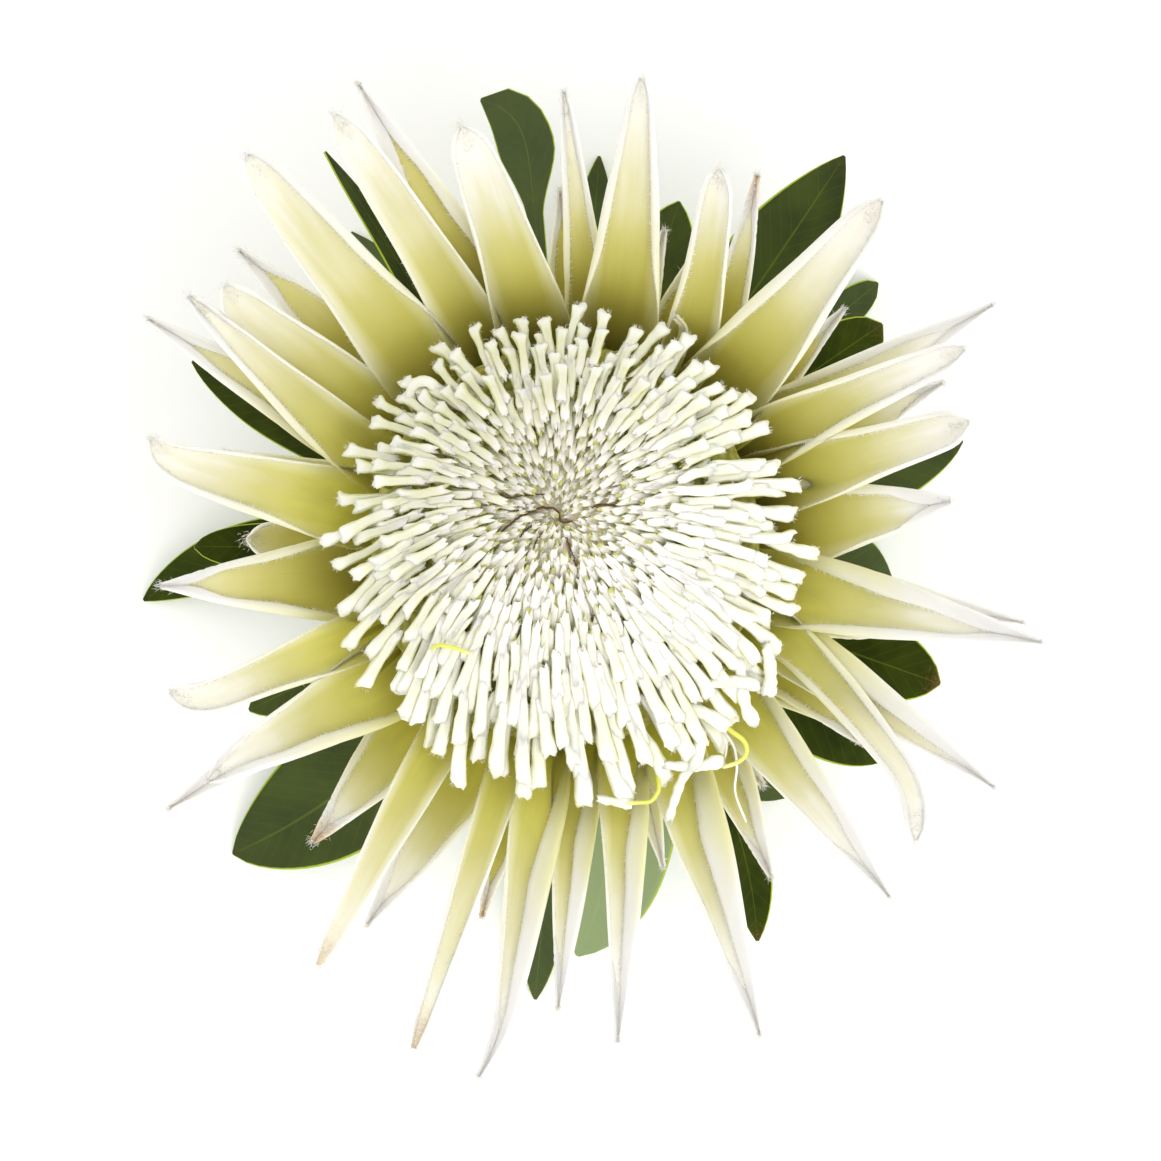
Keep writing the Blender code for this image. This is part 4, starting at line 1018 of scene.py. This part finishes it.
# Floret tubes: smooth and juicy yellow-green, browner towards the foot
tube_flesh, tree, shader = new_material("floret_tube", Roughness=0.5, Specular_IOR_Level=0.35)
along = add_node(tree, "Attribute", {"attribute_name": "along"}, "Fac")
place = add_node(tree, "TexCoord", {}, "Object")
blotches = add_node(tree, "TexNoise", {"Scale": 500.0, "Detail": 2.0, "Vector": place})
mottled = add_node(tree, "Math", {"operation": "MULTIPLY_ADD", 0: blotches, 1: 0.3, 2: -0.15})
placed = add_node(tree, "Math", {"operation": "ADD", 0: along, 1: mottled})
colour = add_node(tree, "ValToRGB", {
    "ramp": ((0.0, "a09840"), (0.35, "c0bb50"), (0.75, "d6d564"), (1.0, "dee074")), "Fac": placed,
})
tree.links.new(colour, shader.inputs["Base Color"])

scatter = np.random.default_rng(7)
index = np.arange(FLORET_COUNT)
filled = (index + 0.5) / FLORET_COUNT
places = np.linspace(0.0, 1.0, 400)
room = np.cumsum(places / (SPACING[0] + (SPACING[1] - SPACING[0]) * places ** 1.3) ** 2)
share = np.interp(filled, room / room[-1], places)
azimuth = index * GOLDEN_ANGLE + scatter.normal(0.0, AZIMUTH_STRAY, FLORET_COUNT)
outward = standing(1.0, 0.0, azimuth)
rise = np.radians(LIMB_RISE[0] + LIMB_RISE[1] * share + scatter.uniform(-RISE_STRAY, RISE_STRAY, FLORET_COUNT))
swing = np.radians(scatter.uniform(-SWING_STRAY, SWING_STRAY, FLORET_COUNT)) * share
swing += DROOP * np.exp(3.0 * (np.cos(azimuth - DROOPING_SIDE) - 1.0)) * share
length = LIMB_LENGTH[0] + LIMB_LENGTH[1] * share + scatter.uniform(*LENGTH_STRAY, FLORET_COUNT)
width = LIMB_WIDTH[0] + LIMB_WIDTH[1] * share + scatter.uniform(*WIDTH_STRAY, FLORET_COUNT)
width *= 1.0 - FLARED_NARROWING * np.cos(azimuth - FLARED_AND_SHADED_SIDE) * share
flared = clamped(0.25 + 0.75 * np.cos(azimuth - FLARED_AND_SHADED_SIDE)) * smooth(share)
tips = outward * (TIP_REACH * share)[:, None]
tips += scatter.normal(0.0, TIP_STRAY, (FLORET_COUNT, 3)) * share[:, None]
tips[:, 2] = APEX_HEIGHT - DOME_DROP * share ** 2 + scatter.uniform(*HEIGHT_STRAY, FLORET_COUNT)
way = standing(1.0, 0.0, azimuth + swing)
knees = tips + way * (length * np.cos(rise))[:, None] - UP * (length * np.sin(rise))[:, None]
tips = parted(leaned(tips), 1.0)
knees = parted(leaned(knees), KNEE_PARTING)
warmth = WARMTH * clamped(1.0 - share / WARM_REACH)
to_crack = np.min([from_line(tips, line)[1] for _, line in PARTINGS[:BROWN_CRACKS]], axis=0)


def repeated(groups, count, points_each):
    """Groups of faces of one part, for as many parts alike as follow one another."""
    starts = points_each * np.arange(count)[:, None, None]
    return [(group + starts).reshape(-1, group.shape[1]) for group in groups]


def squared(around):
    """How far a rounded square reaches out, at angles round its middle."""
    return 1.0 / (np.abs(np.cos(around)) ** 3.0 + np.abs(np.sin(around)) ** 3.0) ** (1.0 / 3.0)


def limbs(knees, tips, width, flared, scatter):
    """Points, faces and marks of velvety limbs from their knees to their ragged tips."""
    count = len(knees)
    axis = unit(tips - knees)
    long = np.linalg.norm(tips - knees, axis=1)
    side, lift = rolled(*crosswise(axis), np.radians(scatter.uniform(-ROLL_STRAY, ROLL_STRAY, count))[:, None])
    form = np.array(LIMB_FORM)
    arch = scatter.uniform(*LIMB_ARCH, count)
    bow = scatter.uniform(*LIMB_BOW, count)
    flare = scatter.uniform(*LIMB_FLARE, count)
    slant = KNEE_SLANT * scatter.uniform(-1.0, 1.0, count)
    around = all_round(LIMB_SIDES, 0.5)
    square = squared(around)
    rings = []
    for place, flared_width, plain_width, thick in form:
        wide = (plain_width + (flared_width - plain_width) * flared)[:, None]
        middle = knees + axis * (long * place)[:, None]
        bulge = 4.0 * place * (1.0 - place)
        middle += lift * (arch * bulge - KNEE_BEND[0] * max(1.0 - place / KNEE_BEND[1], 0.0) ** 2)[:, None]
        middle += side * (bow * bulge)[:, None]
        half = 0.5 * width * (1.0 + (flare - 1.0) * (1.0 - place))
        half = half * (1.0 + OUTLINE_NOISE * scatter.normal(size=count))
        # Across the limb, then up, with a furrow along the upper side, then along it, where the ends are ragged
        cross = half[:, None] * (wide * square * np.cos(around) + SIDE_NOISE * scatter.normal(size=(count, 1)))
        over = half[:, None] * thick * square * np.sin(around)
        over = over - LIMB_FURROW * half[:, None] * np.exp(-(np.cos(around) / 0.3) ** 2) * (np.sin(around) > 0)
        shift = slant[:, None] * np.cos(around) * half[:, None] * (place < 0.05)
        ragged = scatter.uniform(*LIMB_RAGGED, (count, LIMB_SIDES)) * (place > 0.97 or place < 0.01)
        forward = shift + ragged * half[:, None] * (1.0 if place > 0.5 else -0.45)
        wobble = SKIN_NOISE * scatter.normal(size=(count, LIMB_SIDES, 3))
        rings.append(
            middle[:, None, :] + side[:, None, :] * cross[..., None] + lift[:, None, :] * over[..., None]
            + axis[:, None, :] * forward[..., None] + wobble
        )
    rings = np.stack(rings, axis=1)
    ring_count = len(form)
    end_low = rings[:, 0].mean(axis=1) - axis * 0.12
    end_high = rings[:, -1].mean(axis=1) - axis * 0.5
    points = np.concatenate((rings.reshape(count, -1, 3), end_low[:, None], end_high[:, None]), axis=1)
    per_limb = points.shape[1]
    along = np.append(np.repeat(form[:, 0], LIMB_SIDES), (0.0, 1.0))
    upper = np.append(np.tile(np.sin(around), ring_count), (0.3, 0.3))
    marks = {
        "along": np.tile(along, count),
        "upper": np.tile(upper, count),
        "tone": np.repeat(scatter.random(count), per_limb),
    }
    return points.reshape(-1, 3), repeated(capped_faces(ring_count, LIMB_SIDES), count, per_limb), marks


points, faces, marks = limbs(knees, tips, width, flared, scatter)
per_limb = len(points) // FLORET_COUNT
marks["warmth"] = np.repeat(warmth, per_limb) * smooth(marks["along"])
# Painted shade: the shanks of the limbs on the side away from the soft box, save near the top of the dome, are tinted
# olive through their tone
shaded_shank = smooth((marks["along"] - 0.12) / 0.25) * (1.0 - smooth((marks["along"] - 0.75) / 0.25))
shank_shade_side = clamped(0.3 + 0.7 * np.cos(azimuth - FLARED_AND_SHADED_SIDE)) * clamped(2.5 * share)
marks["tone"] += 1.9 * np.repeat(shank_shade_side, per_limb) * shaded_shank
marks["dried"] = np.repeat(0.45 * clamped(1.0 - to_crack / 0.9), per_limb) * smooth(marks["along"] * 1.4)
limb_piece = make_piece("floret_limbs", points, faces, velvet, marks)
limb_piece.data.set_sharp_from_angle(angle=math.radians(50.0))
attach(limb_piece, "root")
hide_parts("floret_head")

TUBE_SIDES = 7
# Radius and height of the tubes' feet on the post: what grows evenly or is the same for all, and what the rim adds
FOOT_RADIUS = (19.5, 13.0)
FOOT_HEIGHT = (53.0, 6.0)
# How far below the knee a tube turns upright, and how far outside it
ELBOW = (4.0, 1.2)
# A tube from its foot to the knee: share of the way and radius
TUBE_FORM = ((0.0, 0.5), (0.35, 0.6), (0.7, 0.7), (0.92, 0.72), (1.0, 0.62))
feet_share = np.clip(share, 0.05, 1.0)
feet = standing(
    FOOT_RADIUS[0] * feet_share + FOOT_RADIUS[1] * feet_share ** 3,
    FOOT_HEIGHT[0] + FOOT_HEIGHT[1] * feet_share ** 3, azimuth,
)
axis = unit(tips - knees)
lift = crosswise(axis)[1]
tops = knees + axis * (0.09 * length)[:, None] - lift * (0.12 * width)[:, None]
elbows = tops - UP * ELBOW[0] + outward * ELBOW[1]
around = all_round(TUBE_SIDES)
across_tube = unit(np.cross(outward, UP))
circle = np.cos(around)[None, :, None] * outward[:, None, :] - np.sin(around)[None, :, None] * across_tube[:, None, :]
rings = []
for place, thick in TUBE_FORM:
    middle = (1.0 - place) ** 2 * feet + 2.0 * place * (1.0 - place) * elbows + place ** 2 * tops
    rings.append(middle[:, None, :] + thick * circle)
per_tube = len(TUBE_FORM) * TUBE_SIDES
round_tube = np.arange(TUBE_SIDES)[None]
tube_faces = (ring_faces(len(TUBE_FORM), TUBE_SIDES), round_tube[:, ::-1], round_tube + per_tube - TUBE_SIDES)
tubes = make_piece(
    "floret_tubes", np.stack(rings, axis=1).reshape(-1, 3), repeated(tube_faces, FLORET_COUNT, per_tube),
    tube_flesh, {"along": np.tile(np.repeat([place for place, _ in TUBE_FORM], TUBE_SIDES), FLORET_COUNT)},
)
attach(tubes, "root")

# The heart of the head
# Under the limbs the tubes stand so close that they make one mass, olive in the gaps, whitish with down near the
# top and brown along the cracks: a lumpy core that stands on the post, a few millimetres below the limbs' tips.
CORE_PROFILE = (
    (0.6, 108.9), (9.0, 107.3), (18.0, 102.0), (27.0, 95.0), (33.5, 88.0), (38.5, 80.0), (36.0, 70.0), (27.0, 61.0),
    (19.0, 53.0), (0.6, 52.4),
)
CORE_SIDES = 120
CORE_RINGS = 70
# Lumps of the core: depth as a share of the radius, number round it, and radians from ring to ring
CORE_LUMPS = (0.012, 34.0, 0.9)
# Distances from the middle of the dome where the down gets thinner and where it ends
DOWN_THINS = 6.0
DOWN_ENDS = 21.0

# Massed tubes: dull, in cells of a tube's width, lighter at a tube's middle and darker between tubes, painted shade
heart, tree, shader = new_material("tube_mass", Roughness=0.8, Specular_IOR_Level=0.2)
place = add_node(tree, "TexCoord", {}, "Object")
browning = add_node(tree, "Attribute", {"attribute_name": "browning"}, "Fac")
downy = add_node(tree, "Attribute", {"attribute_name": "downy"}, "Fac")
cells = add_node(tree, "TexVoronoi", {"Scale": 420.0, "Vector": place})
colour = add_node(tree, "ValToRGB", {"ramp": ((0.1, "e4e296"), (0.4, "d2cf70"), (0.7, "aeaa50")), "Fac": cells})
whitened = add_node(tree, "Mix", {"data_type": "RGBA", 0: downy, 6: colour, 7: "ded3c2"}, 2)
mixed = add_node(tree, "Mix", {"data_type": "RGBA", 0: browning, 6: whitened, 7: "8a6a48"}, 2)
tree.links.new(mixed, shader.inputs["Base Color"])

core_way = curve_through(CORE_PROFILE, CORE_RINGS)[::-1]
core_angles = all_round(CORE_SIDES)
depth, lobes, climb = CORE_LUMPS
lumps = 1.0 + depth * np.sin(lobes * core_angles)[None, :] * np.sin(climb * np.arange(CORE_RINGS))[:, None]
rings = leaned(standing(core_way[:, None, 0] * lumps, core_way[:, None, 1], core_angles[None, :]))
rings = rings.reshape(-1, 3)
last_ring = (CORE_RINGS - 1) * CORE_SIDES
ends = np.stack((rings[:CORE_SIDES].mean(axis=0), rings[last_ring:].mean(axis=0)))
core_points = np.vstack((rings, ends))
to_crack = np.min([from_line(core_points, line)[1] for _, line in PARTINGS[:BROWN_CRACKS]], axis=0)
from_top = np.linalg.norm(core_points[:, :2] - DOME_LEAN[:2], axis=1)
near_top = 0.9 * clamped((DOWN_ENDS - from_top) / (DOWN_ENDS - DOWN_THINS))
core = make_piece(
    "floret_heart", core_points, capped_faces(CORE_RINGS, CORE_SIDES), heart,
    {"browning": smooth(0.9 - to_crack), "downy": near_top},
)
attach(core, "root")

# The down on the florets
# White hairs that stand off each limb's tip and back, a millimetre long, and give it the ragged velvety outline.
# How many there are at the tip of a limb, round its knee and on its back
HAIRS = {"tip": 18, "knee": 12, "back": 16}
FLORET_HAIR_HALF = 0.075

scatter = np.random.default_rng(19)
axis = unit(tips - knees)
side, lift = crosswise(axis)
long = np.linalg.norm(tips - knees, axis=1)
roots = []
ways = []
for where in [where for where, count in HAIRS.items() for _ in range(count)]:
    turn = scatter.uniform(0.0, 2.0 * np.pi, FLORET_COUNT)[:, None]
    around_limb = side * np.cos(turn) + lift * np.sin(turn)
    if where == "tip":
        place = scatter.uniform(0.93, 1.0, FLORET_COUNT)
        half = 0.3 * width
        root = side * np.cos(turn) * half[:, None] + lift * np.sin(turn) * 0.5 * half[:, None]
        roots.append(knees + axis * (long * place)[:, None] + root)
        ways.append(axis + 0.4 * around_limb + 0.25 * scatter.normal(size=(FLORET_COUNT, 3)))
    elif where == "knee":
        half = 0.42 * width
        root = side * np.cos(turn) * half[:, None] + lift * (np.sin(turn) - 0.6) * 0.4 * half[:, None]
        roots.append(knees + axis * 0.3 + root)
        ways.append(0.8 * around_limb - axis + 0.3 * scatter.normal(size=(FLORET_COUNT, 3)))
    else:
        place = scatter.uniform(0.02, 0.95, FLORET_COUNT)
        half = 0.5 * width * np.interp(place, [row[0] for row in LIMB_FORM], [row[2] for row in LIMB_FORM])
        roots.append(knees + axis * (long * place)[:, None] + around_limb * half[:, None] * 0.72)
        ways.append(0.7 * axis + around_limb + 0.3 * scatter.normal(size=(FLORET_COUNT, 3)))
roots = np.vstack(roots)
lengths = (HAIR_LENGTHS[0] + HAIR_LENGTHS[1] * scatter.random(len(roots))) * np.tile(0.55 + 0.45 * share, len(ways))
points, faces = needles(roots, np.vstack(ways), lengths, FLORET_HAIR_HALF)
floret_down = make_piece("floret_down", points, [faces], down)
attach(floret_down, "root")

# The loose limbs and styles
# At the lower right of the rim a few florets have opened: their limbs have sprung outwards, and their yellow-green
# styles and white threads loop out over the bracts, each still held at its foot among the florets.
STRAND_SIDES = 10
# Kind, radius, flatness, and places from the flower's axis from foot to end
STRANDS = (
    ("style", 0.55, 1.0, ((27.0, -31.0, 82.0), (33.0, -36.2, 86.5), (35.8, -38.4, 87.0), (36.4, -40.8, 87.0),
                          (34.9, -42.6, 86.4), (31.6, -43.9, 85.6))),
    ("style", 0.5, 1.0, ((17.5, -40.0, 80.0), (18.7, -47.4, 84.6), (18.3, -49.2, 85.0), (17.0, -50.7, 85.0),
                         (14.4, -51.0, 84.6), (11.4, -51.2, 84.0))),
    ("style", 0.45, 1.0, ((-27.0, -20.0, 95.0), (-25.2, -19.0, 98.4), (-22.0, -19.6, 99.0), (-18.8, -20.8, 98.0))),
    ("thread", 0.28, 1.0, ((29.0, -33.5, 82.0), (31.4, -37.0, 84.6), (32.4, -39.4, 84.6), (32.0, -42.4, 83.6))),
    ("thread", 0.28, 1.0, ((30.0, -33.5, 82.0), (32.4, -37.2, 85.0), (34.0, -40.0, 85.0), (34.5, -44.0, 84.2),
                           (34.2, -49.0, 83.6), (36.4, -55.0, 84.4))),
    ("withered", 0.18, 0.6, ((-14.0, 10.4, 107.2), (-11.5, 10.2, 108.2), (-9.0, 10.6, 108.8), (-4.0, 10.9, 109.4))),
    ("withered", 0.24, 0.6, ((-12.6, 3.6, 107.8), (-9.8, 5.9, 108.9), (-5.0, 8.2, 109.8), (-1.6, 7.6, 110.1),
                             (-1.0, 5.4, 110.0), (1.5, 5.6, 109.8))),
    ("withered", 0.17, 0.6, ((-9.2, 2.4, 108.8), (-7.4, 4.2, 109.2), (-6.0, 5.2, 109.6))),
    ("withered", 0.17, 0.6, ((-10.5, 7.6, 108.6), (-8.2, 8.0, 109.2), (-6.2, 9.0, 109.5))),
    ("withered", 0.17, 0.6, ((0.0, 2.4, 109.7), (1.2, -0.6, 109.1), (2.0, -3.4, 108.3))),
    ("withered", 0.15, 0.6, ((-4.6, 3.4, 109.7), (-6.0, 1.4, 109.1), (-6.6, -1.2, 108.4))),
    ("withered", 0.15, 0.6, ((5.0, 8.4, 109.4), (7.6, 8.9, 108.8), (10.2, 8.6, 107.9))),
    ("limb", 1.35, 0.55, ((31.8, -42.4, 85.0), (26.0, -43.6, 86.0), (20.2, -43.4, 86.0))),
    ("limb", 1.2, 0.55, ((27.2, -35.8, 85.6), (26.6, -41.8, 86.6), (23.6, -46.0, 85.2), (21.8, -51.0, 83.6),
                         (20.8, -54.4, 82.8))),
    ("limb", 1.45, 0.6, ((38.0, -34.8, 84.4), (36.2, -31.4, 87.4), (35.4, -27.4, 88.4), (34.8, -21.8, 88.8))),
    ("limb", 1.5, 0.6, ((40.8, -29.2, 85.4), (41.2, -24.2, 87.4), (40.4, -19.2, 88.2))),
    ("limb", 1.3, 0.6, ((38.8, -27.4, 87.6), (33.8, -26.4, 89.4), (26.6, -26.8, 90.4))),
    ("limb", 1.55, 0.6, ((32.6, -35.8, 86.6), (27.6, -32.8, 88.4), (20.6, -30.8, 89.6))),
    ("limb", 1.2, 0.6, ((13.2, -51.2, 83.2), (9.8, -50.8, 84.2), (6.6, -50.2, 84.0))),
    ("limb", 1.3, 0.7, ((-24.5, 31.0, 87.6), (-27.6, 33.8, 88.8), (-30.4, 33.6, 88.0), (-31.4, 31.4, 86.6),
                        (-30.6, 28.6, 85.6))),
)


def strand(kind, places, radius, flatness, count, scatter):
    """Points, faces and marks of a closed strand through the places, smooth and round or a ragged limb."""
    way = curve_through(places, count)
    tangent = unit(np.gradient(way, axis=0))
    side, lift = crosswise(tangent)
    shares = np.linspace(0.0, 1.0, count)
    around = all_round(STRAND_SIDES)
    if kind == "limb":
        size = radius * np.interp(shares, (0.0, 0.04, 0.14, 0.4, 0.9, 1.0), (0.8, 1.0, 1.04, 0.88, 0.76, 0.6))
        size = size * (1.0 + 0.08 * scatter.normal(size=count))
        square = squared(around)
    else:
        size = radius * np.interp(shares, (0.0, 0.05, 0.95, 1.0), (0.5, 1.0, 0.8, 0.45))
        square = 1.0
    rings = (
        way[:, None, :]
        + side[:, None, :] * (size[:, None] * square * np.cos(around))[..., None]
        + lift[:, None, :] * (flatness * size[:, None] * square * np.sin(around))[..., None]
    )
    if kind == "withered":
        rings = rings + 0.1 * scatter.normal(size=(count, 1, 3))
    if kind == "limb":
        rings = rings + 0.08 * scatter.normal(size=rings.shape)
        rings[-1] += tangent[-1] * scatter.uniform(-0.5, 1.0, (STRAND_SIDES, 1))
        rings[0] -= tangent[0] * scatter.uniform(-0.4, 0.6, (STRAND_SIDES, 1))
    points = np.vstack((rings.reshape(-1, 3), way[0], way[-1]))
    marks = {
        "along": np.append(np.repeat(shares, STRAND_SIDES), (0.0, 1.0)),
        "upper": np.append(np.tile(np.sin(around), count), (0.5, 0.5)),
        "tone": np.full(len(points), 0.5),
        "warmth": np.zeros(len(points)),
        "dried": np.zeros(len(points)),
    }
    return points, capped_faces(count, STRAND_SIDES), marks


# Style skin: smooth, waxy and bright yellow-green, paler at the ends
style_skin, tree, shader = new_material("style_skin", Roughness=0.35, Specular_IOR_Level=0.5)
along = add_node(tree, "Attribute", {"attribute_name": "along"}, "Fac")
colour = add_node(tree, "ValToRGB", {
    "ramp": ((0.0, "e6e79a"), (0.3, "dfe25a"), (0.8, "e3e368"), (1.0, "f0eeb0")), "Fac": along,
})
tree.links.new(colour, shader.inputs["Base Color"])

# Withered thread: dull brown, dried hard in the cracks at the top of the dome
dead_brown, tree, shader = new_material("withered_thread", Roughness=0.8, Specular_IOR_Level=0.15)
shader.inputs["Base Color"].default_value = linear("54432b")

scatter = np.random.default_rng(31)
for kind, name, material, count in (
    ("withered", "withered_threads", dead_brown, 40),
    ("style", "loose_styles", style_skin, 30),
    ("thread", "loose_threads", down, 26),
    ("limb", "loose_limbs", velvet, 16),
):
    parts = [
        strand(kind, places, radius, flatness, count, scatter)
        for sort, radius, flatness, places in STRANDS if sort == kind
    ]
    points, faces, marks = gathered(parts)
    loose = make_piece(name, points, faces, material, marks)
    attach(loose, "root")

# The studio
# A plain white table under soft light: one large soft box to the right of and below the flower as the camera
# sees it, and light from all round. It isn't part of the flower.
CAMERA_HEIGHT = 1095.0
CAMERA_PLACE = np.array((0.95, -2.7))
# Width of what the camera sees at this height above the table, and of its sensor
FRAME_WIDTH = 232.2
FRAME_HEIGHT = 95.0
SENSOR = 36.0
# In metres, apart from the watts and the strength
CAMERA_CLIP = (0.01, 20.0)
TABLE_REACH = 3.0
WORLD_STRENGTH = 1.14
KEY_PLACE = (0.75, -0.85, 1.0)
KEY_AIM_HEIGHT = 0.06
KEY_SIZE = 0.9
KEY_WATTS = 7.8

table_mesh = bpy.data.meshes.new("table")
corners = [(TABLE_REACH * x, TABLE_REACH * y, 0.0) for x, y in ((-1, -1), (1, -1), (1, 1), (-1, 1))]
table_mesh.from_pydata(corners, [], [(0, 1, 2, 3)])
table = bpy.data.objects.new("table", table_mesh)
bpy.context.scene.collection.objects.link(table)
table_white, tree, shader = new_material("table_white", Roughness=0.7)
shader.inputs["Base Color"].default_value = linear("ffffff")
table_mesh.materials.append(table_white)

world = bpy.data.worlds.new("studio_light")
world.use_nodes = True
sky = world.node_tree.nodes["Background"]
sky.inputs["Color"].default_value = linear("ffffff")
sky.inputs["Strength"].default_value = WORLD_STRENGTH
bpy.context.scene.world = world

key_light = bpy.data.lights.new("key_light", "AREA")
key_light.shape = "SQUARE"
key_light.size = KEY_SIZE
key_light.energy = KEY_WATTS
lamp = bpy.data.objects.new("key_light", key_light)
lamp.location = KEY_PLACE
facing = lamp.location.copy()
facing.z -= KEY_AIM_HEIGHT
lamp.rotation_euler = facing.to_track_quat("Z", "Y").to_euler()
bpy.context.scene.collection.objects.link(lamp)

camera = bpy.data.cameras.new("camera")
camera.sensor_width = SENSOR
camera.lens = SENSOR * (CAMERA_HEIGHT - FRAME_HEIGHT) / FRAME_WIDTH
camera.clip_start, camera.clip_end = CAMERA_CLIP
view = bpy.data.objects.new("camera", camera)
view.location = (*(CAMERA_PLACE * MM), CAMERA_HEIGHT * MM)
bpy.context.scene.collection.objects.link(view)
bpy.context.scene.camera = view
bpy.context.scene.view_settings.view_transform = "Standard"
